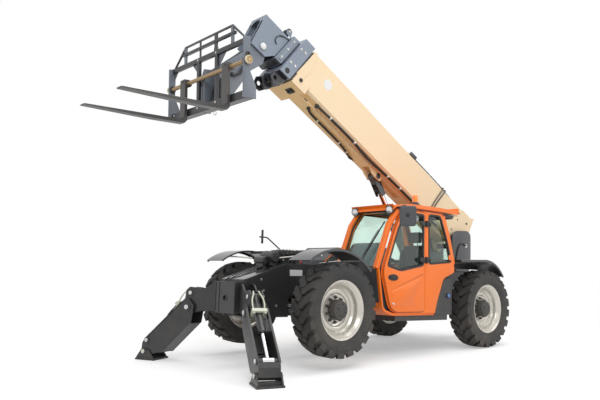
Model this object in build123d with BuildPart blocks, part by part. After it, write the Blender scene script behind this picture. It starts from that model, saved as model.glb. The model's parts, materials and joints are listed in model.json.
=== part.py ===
"""Telehandler: four-section boom, fork carriage, left-hand cab and two front outriggers.

Everything is modelled level, in millimetres, with the rear axle centre as origin:
X runs forward, Y to the machine's left and Z up.  The last section parks the machine:
it stands nose-up on its rear wheels and its two outrigger feet.
"""
import os
from math import atan2, cos, degrees, hypot, pi, radians, sin

from build123d import *

# ---------------------------------------------------------------- driving dimensions
pitch = 2.45                 # nose-up angle of the parked machine, degrees
origin_x = 2640              # from the rear axle to the middle of the whole machine
wheelbase = 3468
track = 2168                 # between tyre centre planes
tyre_radius = 650            # out to the lugs' tips
tread_radius = 628
tyre_width = 380
lug_pairs = 14               # lugs on each half of a tread
rim_width = 330
flange_radius = 405
bead_radius = 372

plate = 25                   # frame side plates
frame_half = 290             # outer face of a side plate
frame_top = 618
frame_bottom = -150
frame_rear = -900
frame_front = wheelbase + 952
deck_rear = wheelbase - 518  # rear end of the closed front deck
deck_knee = wheelbase + 202  # where the deck starts to slope down
nose_top = 366               # frame height at its front end

gap = 6                      # between moving pieces
fit = 0.3                    # radial clearance of pins in their bores
SIDES = (("left", 1), ("right", -1))

# boom: pivot place and stored angle above the machine's own level
boom_x, boom_z, boom_angle = -550, 1120, 28.5
boom_pin = 50
# section name, half width, bottom, top and wall, measured square to the boom
SECTIONS = {
    "base": (250, 20, 690, 10),
    "second": (214, 48, 642, 9),
    "third": (180, 74, 592, 8),
    "fly": (146, 100, 540, 8),
}
nose_lean = 0.19             # how much further forward a section's end is per mm down
boom_length = 4720           # pivot to the base section's nose at mid height

# fork carriage: its pin in the boom's own frame
tilt_s, tilt_h, tilt_pin = boom_length + 720, 70, 38
carriage_half = 940
shaft_x, shaft_z, shaft_radius = 850, -575, 30
fork_place, fork_width, fork_thick = 540, 130, 50
fork_heel_x, fork_tip_x, fork_bottom = 862, 2397, -1165

# outriggers: splay of the legs and place of the feet
splay = 22.6                 # forward of square, degrees
foot_x, foot_y = wheelbase + 1381, 1405
foot_long, foot_wide, foot_plate = 349, 346, 26

# cab: its drawing starts a fixed distance behind the front axle
cab_setback = 3468
cab_in, cab_out = 310, 1180  # inner and outer face of the cab shell
cab_wall = 45
glass = 6


# ---------------------------------------------------------------- helpers
def side_plane(y):
    """Plane of x and z at y; a positive extrusion runs towards the right-hand side."""
    return Plane.XZ.offset(-y)


def outline(points):
    """Closed straight-sided face in the open sketch."""
    Polygon(*points, align=None)


def slab(points, y_high, width, mode=Mode.ADD):
    """Plate from an x-z outline, width thick, from y_high towards -Y."""
    with BuildSketch(side_plane(y_high)) as face:
        outline(points)
    extrude(face.sketch, amount=width, dir=(0, -1, 0), mode=mode)


def across(points, half, mode=Mode.ADD):
    """Plate from an x-z outline, centred on y = 0."""
    slab(points, half, 2 * half, mode)


def block(x, y, z, mode=Mode.ADD):
    """Box from three (low, high) pairs."""
    with Locations(((x[0] + x[1]) / 2, (y[0] + y[1]) / 2, (z[0] + z[1]) / 2)):
        Box(x[1] - x[0], y[1] - y[0], z[1] - z[0], mode=mode)


def rod_y(x, z, radius, y, mode=Mode.ADD):
    """Cylinder along Y from y[0] to y[1]."""
    with Locations(Location((x, (y[0] + y[1]) / 2, z), (90, 0, 0))):
        Cylinder(radius, y[1] - y[0], mode=mode)


def rod_x(y, z, radius, x, mode=Mode.ADD):
    """Cylinder along X from x[0] to x[1]."""
    with Locations(Location(((x[0] + x[1]) / 2, y, z), (0, 90, 0))):
        Cylinder(radius, x[1] - x[0], mode=mode)


def rod_z(x, y, radius, z, mode=Mode.ADD):
    """Cylinder along Z from z[0] to z[1]."""
    with Locations((x, y, (z[0] + z[1]) / 2)):
        Cylinder(radius, z[1] - z[0], mode=mode)


def ring(points, mode=Mode.ADD):
    """Solid of revolution about Y from (radius, y) points."""
    with BuildSketch(Plane.XY) as face:
        outline(points)
    revolve(face.sketch, axis=Axis.Y, mode=mode)


pieces = {}


def keep(shape, name):
    """Take a finished piece into the machine under its node name."""
    shape.label = name
    pieces[name] = shape


# ---------------------------------------------------------------- chassis frame
axle_slot = 160              # half width of the side plates' gap over each axle
axle_top = 150
beam_half, beam_deep = 120, 90  # beam on top of each axle
belly = 20                   # thickness of the belly plates and bulkheads
deck = 16
upright = (-808, -297)       # boom-pivot plates, rear and front edge
upright_top = 1345
tail_top, nose_low = 450, -100
platform_top, platform_low = -95, -175
cab_rail = (wheelbase - 2468, wheelbase - 1188)
pod_rail = (880, 2350)
lift_x, lift_z, lift_pin = 195, 200, 35
lift_eye_radius, lift_eye_half = 62, 62
lug = 35                     # half width of a lug's top
with BuildPart() as chassis_frame:
    side = [
        (frame_rear, frame_bottom), (frame_rear, tail_top), (upright[0], 520),
        (upright[0], upright_top), (upright[1], upright_top), (upright[1], 700),
        (upright[1] + 110, frame_top), (deck_knee, frame_top), (frame_front, nose_top),
        (frame_front, nose_low), (frame_front - 80, frame_bottom),
    ]
    for y_high in (frame_half, plate - frame_half):
        with BuildSketch(side_plane(y_high)) as face:
            outline(side)
            fillet(face.vertices().group_by(Axis.Z)[-1], 95)
            for axle_x in (0, wheelbase):
                with Locations((axle_x, (frame_bottom + axle_top) / 2)):
                    Rectangle(2 * axle_slot, axle_top - frame_bottom, mode=Mode.SUBTRACT)
        extrude(amount=plate)
    inner = frame_half - plate
    # belly plates between the axles and at both ends
    for x in ((frame_rear, -220), (220, wheelbase - 240), (wheelbase + 240, frame_front - 80)):
        block(x, (-inner, inner), (frame_bottom, frame_bottom + belly))
    # cross beams over the axles, bulkheads and end plates
    for axle_x in (0, wheelbase):
        block((axle_x - beam_half, axle_x + beam_half), (-inner, inner), (axle_top, axle_top + beam_deep))
    block((deck_rear, deck_rear + belly), (-inner, inner), (frame_bottom + belly, frame_top - deck))
    block((frame_front - belly, frame_front), (-inner, inner), (nose_low, nose_top - deck / 2))
    block((frame_rear, frame_rear + belly), (-inner, inner), (frame_bottom + belly, tail_top))
    across([
        (deck_rear, frame_top), (deck_knee, frame_top), (frame_front, nose_top),
        (frame_front, nose_top - deck), (deck_knee, frame_top - deck), (deck_rear, frame_top - deck),
    ], inner)
    # boom pivot pin and its bosses
    rod_y(boom_x, boom_z, boom_pin, (-frame_half - 30, frame_half + 30))
    for side_name, s in SIDES:
        rod_y(boom_x, boom_z, 105, sorted((s * frame_half, s * (frame_half + 22))))
    # lugs and pin for the foot of the lift cylinder
    for y_high in (lift_eye_half + gap + plate, -lift_eye_half - gap):
        slab([(beam_half, axle_top), (beam_half, axle_top + beam_deep), (lift_x - lug, lift_z + lift_eye_radius),
              (lift_x + lug, lift_z + lift_eye_radius), (lift_x + 2 * lug, lift_z + lug),
              (lift_x + 3 * lug, frame_bottom + belly), (lift_x + lug, frame_bottom + belly)], y_high, plate)
    rod_y(lift_x, lift_z, lift_pin, (-lift_eye_half - gap, lift_eye_half + gap))
    # outboard platforms for the cab and the engine
    block(cab_rail, (frame_half, 1140), (platform_low, platform_top))
    block(pod_rail, (-1140, -frame_half), (platform_low, platform_top))
keep(chassis_frame.part, "chassis_frame")

with BuildPart() as counterweight:
    across([(frame_rear - 150, -20), (frame_rear - 150, 400), (frame_rear - 90, 480), (frame_rear, 480),
            (frame_rear, -90), (frame_rear - 80, -90)], 430)
keep(counterweight.part, "counterweight")

with BuildPart() as tail_lamps:
    for s in (1, -1):
        block((frame_rear - 162, frame_rear - 150), sorted((s * 320, s * 410)), (300, 372))
keep(tail_lamps.part, "tail_lamps")

# ---------------------------------------------------------------- outrigger head
# Leg pins in a leg's own frame: r runs out along the leg's plan line from the foot's
# centre, z is up.  The leg frame's Y axis is square to the leg.
leg_pivot = (-695, -55)
leg_foot = (35, -738)
leg_rod = (0, -573)
cylinder_top = (-720, 150)
leg_pin, cylinder_pin = 30, 26
ear_half = 92                # outer face of the head's ears
ear_plate = 22
leg_half = 138               # outer face of a leg's side plates
leg_plate = 14
head_front = frame_front + 120
box_half = 245


def leg_location(s):
    """Location of a leg's own frame; s is +1 on the left and -1 on the right."""
    return Location((foot_x, s * foot_y, 0), (0, 0, s * (90 - splay)))


with BuildPart() as ears:
    for y_high in (ear_half, ear_plate - ear_half):
        with BuildSketch(side_plane(y_high)):
            outline([(-1380, -95), (-1130, -90), (-930, -95), (-740, -150), (-625, -120), (-610, -20),
                     (-640, 190), (-700, 236), (-790, 232), (-940, 212), (-1090, 300), (-1380, 325)])
            with Locations(leg_pivot):
                Circle(leg_pin + fit, mode=Mode.SUBTRACT)
        extrude(amount=ear_plate)
    rod_y(*cylinder_top, cylinder_pin, (-ear_half - 18, ear_half + 18))
    block((-1060, -1040), (-ear_half, ear_half), (-85, 220))

with BuildPart() as outrigger_head:
    for side_name, s in SIDES:
        add(ears.part.moved(leg_location(s)))
    block((frame_front - 700, frame_front), (-frame_half, frame_half), (-400, 600), mode=Mode.SUBTRACT)
    across([(frame_front, nose_low), (frame_front, 330), (head_front, 330), (head_front, nose_low - 5)], box_half)
    rod_x(0, 110, 34, (head_front - 90, head_front), mode=Mode.SUBTRACT)
keep(outrigger_head.part, "outrigger_head")

# ---------------------------------------------------------------- outrigger legs and feet
leg_top = 118                # pivot to the leg's upper edge
leg_deep = 335
leg_angle = degrees(atan2(leg_foot[1] - leg_pivot[1], leg_foot[0] - leg_pivot[0]))
leg_run = hypot(leg_foot[0] - leg_pivot[0], leg_foot[1] - leg_pivot[1])


def on_leg(a, n):
    """Point a mm down the leg from its pivot and n mm above its centre line."""
    c, s = cos(radians(leg_angle)), sin(radians(leg_angle))
    return (leg_pivot[0] + a * c - n * s, leg_pivot[1] + a * s + n * c)


with BuildPart() as leg:
    low = leg_top - leg_deep
    for y_high in (leg_half, leg_plate - leg_half):
        with BuildSketch(side_plane(y_high)):
            outline([on_leg(-105, -60), on_leg(-95, 85), on_leg(-20, leg_top), on_leg(leg_run - 100, leg_top + 20),
                     on_leg(leg_run - 40, leg_top), on_leg(leg_run + 50, 35), on_leg(leg_run + 45, -45),
                     (-80, -785), (-190, -744), on_leg(leg_run - 232, low), on_leg(95, low)])
            with Locations(leg_foot):
                Circle(leg_pin + fit, mode=Mode.SUBTRACT)
        extrude(amount=leg_plate)
    across([on_leg(110, low), on_leg(125, low + leg_plate), on_leg(leg_run - 255, low + leg_plate),
            on_leg(leg_run - 240, low)], leg_half - leg_plate)
    rod_y(*on_leg(leg_run - 215, -120), 30, (-leg_half, leg_half))
    for s in (1, -1):
        rod_y(*leg_pivot, leg_pin, sorted((s * (ear_half - ear_plate), s * (leg_half + 20))))
        rod_y(*leg_pivot, 62, sorted((s * (ear_half + gap), s * leg_half)))
        rod_y(*leg_rod, cylinder_pin, sorted((s * leg_half, s * (leg_half + 22))))

ground_normal = (sin(radians(pitch)), 0, cos(radians(pitch)))
foot_ground = -(tyre_radius + foot_x * sin(radians(pitch))) / cos(radians(pitch))
shoe_half = leg_half + gap   # inner face of a foot's ears
shoe_plate = 18
with BuildPart() as shoe:
    for y_high in (shoe_half + shoe_plate, -shoe_half):
        with BuildSketch(side_plane(y_high)):
            outline([(-165, foot_ground + 14), (-150, foot_ground + 40), (-60, leg_foot[1] + 20),
                     (leg_foot[0] - 30, leg_foot[1] + 40), (leg_foot[0] + 40, leg_foot[1] + 35),
                     (165, foot_ground + 30), (165, foot_ground + 14)])
        extrude(amount=shoe_plate)
    rod_y(*leg_foot, leg_pin, (-shoe_half - shoe_plate - 14, shoe_half + shoe_plate + 14))


def foot_part(s):
    """One outrigger foot: the ears follow the leg, the sole lies flat on the ground."""
    with BuildPart() as foot:
        sole = Plane(origin=(foot_x, s * foot_y, foot_ground), z_dir=ground_normal,
                     x_dir=(sin(radians(splay)), s * cos(radians(splay)), 0))
        with BuildSketch(sole):
            Rectangle(foot_long, foot_wide)
        extrude(amount=foot_plate)
        add(shoe.part.moved(leg_location(s)))
    return foot.part


for side_name, s in SIDES:
    keep(leg.part.moved(leg_location(s)), f"outrigger_leg_{side_name}")
    keep(foot_part(s), f"outrigger_foot_{side_name}")


def length_and_place(start, end):
    """Length from start to end in x and z, and the location that turns +X along it."""
    run, rise = end[0] - start[0], end[1] - start[1]
    return hypot(run, rise), Location((start[0], 0, start[1]), (0, -degrees(atan2(rise, run)), 0))


def barrel_part(length, radius, rod_radius, pin, eye, eye_half):
    """Cylinder barrel along +X with its eye on the origin."""
    neck = eye + 20 if radius > eye_half else eye * 0.7
    with BuildPart() as barrel:
        rod_x(0, 0, min(radius, eye_half - 5), (eye * 0.7, neck + 20))
        rod_x(0, 0, radius, (neck, length))
        rod_x(0, 0, radius + 5, (length - 60, length))
        rod_y(0, 0, eye, (-eye_half, eye_half))
        rod_x(0, 0, radius - 10, (neck + 25, length - 30), mode=Mode.SUBTRACT)
        rod_x(0, 0, rod_radius + fit, (length - 30, length), mode=Mode.SUBTRACT)
        rod_y(0, 0, pin + fit, (-eye_half, eye_half), mode=Mode.SUBTRACT)
    return barrel.part


def rod_part(reach, length, radius, bore, eye, eye_half):
    """Piston rod along +X that ends in an eye reach mm from the origin."""
    with BuildPart() as rod:
        rod_x(0, 0, radius, (reach - length, reach - eye * 0.5))
        rod_y(reach, 0, eye, (-eye_half, eye_half))
        rod_y(reach, 0, bore, (-eye_half, eye_half), mode=Mode.SUBTRACT)
    return rod.part


# outrigger cylinders: barrel length and radius, rod length and radius
leg_barrel = (600, 52)
leg_piston = (530, 27)
leg_reach, leg_cylinder = length_and_place(cylinder_top, leg_rod)
for side_name, s in SIDES:
    place = leg_location(s) * leg_cylinder
    keep(barrel_part(*leg_barrel, leg_piston[1], cylinder_pin, 46, ear_half - ear_plate - gap).moved(place),
         f"outrigger_barrel_{side_name}")
    keep(rod_part(leg_reach, *leg_piston, cylinder_pin, 42, 70).moved(place), f"outrigger_rod_{side_name}")

# ---------------------------------------------------------------- axles
axle_radius = 105
yoke_y, king_y, yoke_out = 845, 940, 1000
king_pin = 30
yoke_inside, yoke_thick = 148, 42
with BuildPart() as axle:
    rod_y(0, 0, axle_radius, (-yoke_y - 30, yoke_y + 30))
    rod_y(0, 0, 142, (-150, 150))
    rod_x(0, 0, 70, (-190, 60))
    block((-110, 110), (-150, 150), (100, axle_top))
    for s in (1, -1):
        y_range = sorted((s * yoke_y, s * (yoke_y + 35)))
        block((-70, 70), y_range, (-yoke_inside - yoke_thick, yoke_inside + yoke_thick))
        for z in ((yoke_inside, yoke_inside + yoke_thick), (-yoke_inside - yoke_thick, -yoke_inside)):
            block((-70, 70), sorted((s * yoke_y, s * yoke_out)), z)
            rod_z(0, s * king_y, king_pin + fit, z, mode=Mode.SUBTRACT)
keep(axle.part.moved(Location((wheelbase, 0, 0))), "front_axle")
keep(axle.part.moved(Location((0, 0, 0))), "rear_axle")

# ---------------------------------------------------------------- knuckles, rims and tyres
spindle, spindle_end = 60, 1190
wheel_y = track / 2
half_rim, half_tyre = rim_width / 2, tyre_width / 2
hub_face, hub_radius = 135, 140
with BuildPart() as knuckle:
    rod_z(0, king_y, 54, (-yoke_inside + gap, yoke_inside - gap))
    block((-62, 62), (king_y, king_y + 60), (-yoke_inside + gap, yoke_inside - gap))
    rod_z(0, king_y, king_pin, (-yoke_inside - yoke_thick, yoke_inside + yoke_thick))
    rod_y(0, 0, 125, (king_y + 40, king_y + 90))
    rod_y(0, 0, spindle, (king_y + 90, spindle_end))

with BuildPart() as rim:
    ring([(spindle + fit, -45), (130, -45), (130, 44), (240, 44), (262, 66), (345, 84), (bead_radius - 14, 60),
          (bead_radius - 14, -half_rim + 25), (flange_radius - 13, -half_rim), (flange_radius, -half_rim),
          (flange_radius, -half_rim + 14), (bead_radius, -half_rim + 27), (bead_radius, half_rim - 27),
          (flange_radius, half_rim - 14), (flange_radius, half_rim), (flange_radius - 15, half_rim),
          (bead_radius - 16, 104), (268, 86), (248, 64), (hub_radius, 64), (hub_radius, hub_face), (0, hub_face),
          (0, 115), (spindle + fit, 115)])

# A tyre's outline as (radius, distance from its middle), and one lug seen from above as
# (distance round the tread, distance from its middle).
shoulder = half_tyre - 25
carcass = [(bead_radius, 138), (flange_radius + 3, 152), (470, half_tyre), (565, half_tyre), (tread_radius, shoulder)]
lining = [(598, 118), (560, 158), (bead_radius, 112)]
lug_shape = [(-54, 6), (-2, 6), (32, 80), (30, shoulder), (-32, shoulder)]
lug_root = 8                 # depth of a lug's root in the carcass


def faceted_ring(points, count, start):
    """Ring about Y: a closed (radius, y) outline turned in count flat steps."""
    spread = 1 / cos(pi / count)
    edges = [radians(start) + (2 * k + 1) * pi / count for k in range(count)]
    rings = [[(spread * r * cos(a), y, spread * r * sin(a)) for r, y in points] for a in edges]
    faces = []
    for here, after in zip(rings, rings[1:] + rings[:1]):
        for k in range(len(points)):
            following = (k + 1) % len(points)
            corners = [here[k], here[following], after[following], after[k]]
            faces.append(Face(Wire.make_polygon(corners, close=True)))
    return Solid(Shell(faces))


def tyre_part(s):
    """Tyre of one side, with one of its lugs flat on the ground."""
    start = -90 - s * pitch
    both = [(r, y) for r, y in carcass] + [(r, -y) for r, y in reversed(carcass)]
    both += [(r, -y) for r, y in reversed(lining)] + [(r, y) for r, y in lining]
    with BuildPart() as tyre:
        add(faceted_ring(both, 2 * lug_pairs, start))
        for k in range(2 * lug_pairs):
            half = 1 if k % 2 else -1
            angle = start + k * 180 / lug_pairs
            seat = Plane(origin=((tread_radius - lug_root) * cos(radians(angle)), 0,
                                 (tread_radius - lug_root) * sin(radians(angle))),
                         z_dir=(cos(radians(angle)), 0, sin(radians(angle))),
                         x_dir=(-sin(radians(angle)), 0, cos(radians(angle))))
            with BuildSketch(seat) as face:
                outline([(s * u, half * v) for u, v in lug_shape])
            extrude(face.sketch, amount=tyre_radius - tread_radius + lug_root)
    return tyre.part


tyres = {1: tyre_part(1), -1: tyre_part(-1)}
for end, axle_x in (("front", wheelbase), ("rear", 0)):
    for side_name, s in SIDES:
        turn = 0 if s > 0 else 180
        keep(knuckle.part.moved(Location((axle_x, 0, 0), (0, 0, turn))), f"{end}_knuckle_{side_name}")
        wheel_place = Location((axle_x, s * wheel_y, 0), (0, 0, turn))
        keep(rim.part.moved(wheel_place), f"{end}_rim_{side_name}")
        keep(tyres[s].moved(wheel_place), f"{end}_tyre_{side_name}")


# ---------------------------------------------------------------- fenders
fender_thick = 12
fender_inner, fender_outer = 800, 1225
stay_z = 775
with BuildPart() as front_fenders:
    for side_name, s in SIDES:
        y_high = fender_outer if s > 0 else -fender_inner
        with BuildSketch(side_plane(y_high)) as band:
            with BuildLine():
                outer = ThreePointArc((wheelbase - 585, 548), (wheelbase - 20, 822), (wheelbase + 610, 650))
                inner_arc = ThreePointArc((wheelbase - 573, 542), (wheelbase - 20, 822 - fender_thick),
                                          (wheelbase + 604, 639))
                Line(outer @ 0, inner_arc @ 0)
                Line(outer @ 1, inner_arc @ 1)
            make_face()
        extrude(band.sketch, amount=fender_outer - fender_inner, dir=(0, -1, 0))
        block((wheelbase - 30, wheelbase + 30), sorted((s * (frame_half - plate), s * (fender_inner + 60))),
              (stay_z, stay_z + 42))
        block((wheelbase - 30, wheelbase + 30), sorted((s * (frame_half - plate), s * frame_half)),
              (frame_top, stay_z + 20))
keep(front_fenders.part, "front_fenders")

with BuildPart() as rear_fenders:
    for side_name, s in SIDES:
        y_high = fender_outer + 25 if s > 0 else -fender_inner
        with BuildSketch(side_plane(y_high)) as band:
            with BuildLine():
                outer = ThreePointArc((-496, 556), (-236, 768), (100, 826))
                deck = Line(outer @ 1, (770, 800))
                end = Line(deck @ 1, (770, 800 - fender_thick))
                under = Line(end @ 1, (100, 826 - fender_thick))
                inner_arc = ThreePointArc(under @ 1, (-232, 756), (-484, 550))
                Line(inner_arc @ 1, outer @ 0)
            make_face()
        extrude(band.sketch, amount=fender_outer + 25 - fender_inner, dir=(0, -1, 0))
        block((-30, 30), sorted((s * (frame_half - plate), s * (fender_inner + 60))), (stay_z, stay_z + 40))
        block((-30, 30), sorted((s * (frame_half - plate), s * frame_half)), (frame_top, stay_z + 20))
keep(rear_fenders.part, "rear_fenders")

# ---------------------------------------------------------------- engine side
pod_x = (880, 2350)
pod_in, pod_out = 315, 1150
pod_split, hood_top = 330, 950
pod_wall = 25
louvres, louvre_step = 9, 44
hood_knuckle = 14
hood_hinge = (pod_in + 25, hood_top + hood_knuckle - 4)  # across from the middle, and up
with BuildPart() as engine_bay:
    block(pod_x, (-pod_out, -pod_in), (platform_top, pod_split))
    block((pod_x[0] + pod_wall, pod_x[1] - pod_wall), (pod_wall - pod_out, -pod_in - pod_wall),
          (platform_top + pod_wall, pod_split), mode=Mode.SUBTRACT)
    block((pod_x[0] + 80, pod_x[1] - 360), (-pod_in - pod_wall, -pod_in), (pod_split, hood_top - 2 * pod_wall))
keep(engine_bay.part, "engine_bay")

with BuildPart() as engine_block:
    block((1150, 1900), (-960, -480), (platform_top + pod_wall, 620))
keep(engine_block.part, "engine_block")

hood_side = [(pod_x[0], pod_split + gap), (pod_x[0], hood_top - 60), (pod_x[0] + 60, hood_top),
             (pod_x[1] - 330, hood_top), (pod_x[1], 720), (pod_x[1], pod_split + gap)]
with BuildPart() as engine_hood:
    with BuildSketch(side_plane(-pod_in)) as shell:
        outline(hood_side)
    extrude(shell.sketch, amount=pod_out - pod_in, dir=(0, -1, 0))
    with BuildSketch(side_plane(-pod_in)) as core:
        outline(hood_side)
        offset(amount=-pod_wall, kind=Kind.INTERSECTION, mode=Mode.REPLACE)
    extrude(core.sketch, amount=pod_out - pod_in - pod_wall, dir=(0, -1, 0), mode=Mode.SUBTRACT)
    block((pod_x[0] + pod_wall, pod_x[1] - pod_wall), (pod_wall - pod_out, -pod_in), (pod_split, pod_split + 60),
          mode=Mode.SUBTRACT)
    # louvres in the hood's outer side
    for k in range(louvres):
        z = 430 + k * louvre_step
        block((pod_x[0] + 200, pod_x[1] - 520), (-pod_out - 1, pod_wall - pod_out + 1), (z, z + louvre_step / 2),
              mode=Mode.SUBTRACT)
    # hinge knuckles along the hood's inner edge
    for x in (pod_x[0] + 180, pod_x[1] - 500):
        rod_x(-hood_hinge[0], hood_hinge[1], hood_knuckle, (x, x + 100))
keep(engine_hood.part, "engine_hood")

# ---------------------------------------------------------------- cab
cab_place = Location((wheelbase - cab_setback, 0, 0))
cab_side = [(1371, platform_top), (2364, platform_top), (2540, -45), (2604, 20), (2697, 580), (2435, 1242),
            (2207, 1530), (1290, 1530), (1149, 1484), (1000, 1140), (866, 713), (848, 586), (1141, 480),
            (1310, 106)]
door_side = [(1632, -40), (2300, -40), (2400, 20), (2440, 90), (2578, 505), (2566, 620), (2330, 1210),
             (2160, 1500), (1632, 1500)]
door_window = [(1650, 690), (1690, 650), (2200, 575), (2500, 640), (2270, 1190), (2110, 1470), (1650, 1470)]
quarter_window = [(1505, 1490), (1500, 697), (940, 745), (1075, 1110), (1245, 1490)]
right_window = [(1090, 750), (1230, 1470), (2130, 1470), (2350, 1190), (2560, 640), (1090, 690)]
screen_low, screen_high = 600, 1478
roof_low, roof_high = 1530, 1600
inside, outside = cab_in + cab_wall, cab_out - cab_wall
pillar = 75                  # width of the corner posts seen from the front
# door hinges: axis, heights, knuckle radius and leaves
hinge_x, hinge_y = 1612, cab_out + 20
hinge_z = (752, 1318)
hinge_knuckle, leaf, leaf_half = 19, 14, 36


def grown(points, amount):
    """Face of an x-z outline grown outwards, or shrunk where amount is negative."""
    with BuildSketch() as face:
        outline(points)
        offset(amount=amount, kind=Kind.INTERSECTION, mode=Mode.REPLACE)
    return face.sketch


def cut_side(face, y_high, width):
    """Cut an x-z face width deep from y_high towards -Y."""
    extrude(side_plane(y_high) * face, amount=width, dir=(0, -1, 0), mode=Mode.SUBTRACT)


with BuildPart() as cab_shell:
    slab(cab_side, cab_out, cab_out - cab_in)
    cut_side(grown(cab_side, -cab_wall), outside, outside - inside)
    cut_side(grown(door_side, gap), cab_out, cab_wall)
    cut_side(grown(quarter_window, 0.01), cab_out, cab_wall)
    # right-hand window, screens and rear window
    cut_side(grown(right_window, 0.01), inside, cab_wall)
    block((2150, 2720), (cab_in + pillar, cab_out - pillar), (screen_low, screen_high), mode=Mode.SUBTRACT)
    block((840, 1250), (cab_in + pillar, cab_out - pillar), (760, 1440), mode=Mode.SUBTRACT)
    # fixed leaves of the door's hinges
    for z in hinge_z:
        block((hinge_x - 112, hinge_x - hinge_knuckle - gap), (cab_out, cab_out + leaf), (z - leaf_half, z + leaf_half))
keep(cab_shell.part.moved(cab_place), "cab_shell")

with BuildPart() as cab_glass:
    for face, mode in ((grown(cab_side, -cab_wall), Mode.ADD), (grown(cab_side, -cab_wall - glass), Mode.SUBTRACT)):
        extrude(side_plane(outside) * face, amount=outside - inside, dir=(0, -1, 0), mode=mode)
    # keep the front and the rear screen only
    block((1230, 2200), (0, 1300), (-200, 1600), mode=Mode.SUBTRACT)
    block((800, 2800), (0, 1300), (-200, 580), mode=Mode.SUBTRACT)
    block((800, 1400), (0, 1300), (500, 740), mode=Mode.SUBTRACT)
    block((800, 2800), (0, 1300), (1484, 1600), mode=Mode.SUBTRACT)
    # side panes behind the quarter window and the right-hand window
    extrude(side_plane(outside + glass) * grown(quarter_window, -0.01), amount=glass, dir=(0, -1, 0))
    extrude(side_plane(inside) * grown(right_window, -0.01), amount=glass, dir=(0, -1, 0))
keep(cab_glass.part.moved(cab_place), "cab_glass")

# two lamps in the visor's corners, across and up, and their radius
roof_lamps = ((1112, 1476), (378, 1476))
lamp_radius, lamp_x = 56, (2308, 2386)
with BuildPart() as cab_roof:
    slab([(736, 1598), (786, 1520), (1290, roof_low), (2207, roof_low), (2238, 1492), (2345, 1462), (2370, 1500),
          (2210, 1578), (1960, 1612), (1200, 1612)], cab_out + 8, cab_out - cab_in + 16)
    for y, z in roof_lamps:
        rod_x(y, z, lamp_radius, (lamp_x[0] - 40, lamp_x[1] + 40), mode=Mode.SUBTRACT)
keep(cab_roof.part.moved(cab_place), "cab_roof")

with BuildPart() as work_lamps:
    for y, z in roof_lamps:
        rod_x(y, z, lamp_radius, lamp_x)
keep(work_lamps.part.moved(cab_place), "work_lamps")

with BuildPart() as cab_door:
    slab(door_side, cab_out, cab_wall)
    cut_side(grown(door_window, 0.01), cab_out, cab_wall)
    for z in hinge_z:
        block((hinge_x, hinge_x + 156), (cab_out, cab_out + leaf), (z - leaf_half, z + leaf_half))
        rod_z(hinge_x, hinge_y, hinge_knuckle, (z - leaf_half - 12, z + leaf_half + 12))
keep(cab_door.part.moved(cab_place), "cab_door")

with BuildPart() as door_glass:
    extrude(side_plane(outside + glass) * grown(door_window, -0.01), amount=glass, dir=(0, -1, 0))
keep(door_glass.part.moved(cab_place), "door_glass")

with BuildPart() as seat:
    block((1480, 1820), (580, 900), (-50, 260))
    block((1400, 1920), (490, 1000), (260, 400))
    slab([(1290, 380), (1400, 400), (1470, 400), (1400, 1020), (1300, 1130), (1230, 1110)], 990, 490)
keep(seat.part.moved(cab_place), "seat")

wheel_side = 745             # steering wheel, across from the middle
with BuildPart() as console:
    slab([(2230, -50), (2350, -50), (2490, 0), (2540, 45), (2590, 300), (2600, 560), (2420, 900),
          (2200, 930), (2120, 800), (2300, 600)], outside - 60, 620)
    # steering column and wheel
    slab([(2340, 0), (2130, 690), (2070, 690), (2280, 0)], wheel_side + 30, 60)
    with Locations(Location((2080, wheel_side, 735), (0, -22, 0))):
        Cylinder(196, 30)
        Cylinder(168, 30, mode=Mode.SUBTRACT)
        Box(350, 34, 20)
        Cylinder(45, 50)
keep(console.part.moved(cab_place), "console")

with BuildPart() as cab_step:
    slab([(880, platform_top), (880, 500), (1100, 470), (1285, 80), (1335, platform_top)], 1150, 500)
keep(cab_step.part.moved(cab_place), "cab_step")

# ---------------------------------------------------------------- boom
boom_place = Location((boom_x, 0, boom_z), (0, -boom_angle, 0))


def section_outline(half, low, high, inset=0):
    """Boom section's y-h outline with cut corners; inset shrinks it by the wall."""
    half, low, high, cut = half - inset, low + inset, high - inset, 34
    return [(-half, low + cut), (cut - half, low), (half - cut, low), (half, low + cut),
            (half, high - cut), (half - cut, high), (cut - half, high), (-half, high - cut)]


def tube(name, start, end):
    """Hollow boom section from start to end along the boom."""
    half, low, high, wall = SECTIONS[name]
    for inset, mode in ((0, Mode.ADD), (wall, Mode.SUBTRACT)):
        with BuildSketch(Plane.YZ.offset(start)) as face:
            outline(section_outline(half, low, high, inset))
        extrude(face.sketch, amount=end - start, dir=(1, 0, 0), mode=mode)


def lean(h):
    """How far a section's end lies ahead of its mid height at height h."""
    return nose_lean * (350 - h)


def collar(start, end, half, low, high, name):
    """Leaning collar around a boom section's front end."""
    across([(start + lean(low), low), (end + lean(low), low), (end + lean(high), high),
            (start + lean(high), high)], half)
    inner_half, inner_low, inner_high, wall = SECTIONS[name]
    with BuildSketch(Plane.YZ.offset(start - 300)) as face:
        outline(section_outline(inner_half, inner_low, inner_high, wall))
    extrude(face.sketch, amount=end - start + 600, dir=(1, 0, 0), mode=Mode.SUBTRACT)


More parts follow.
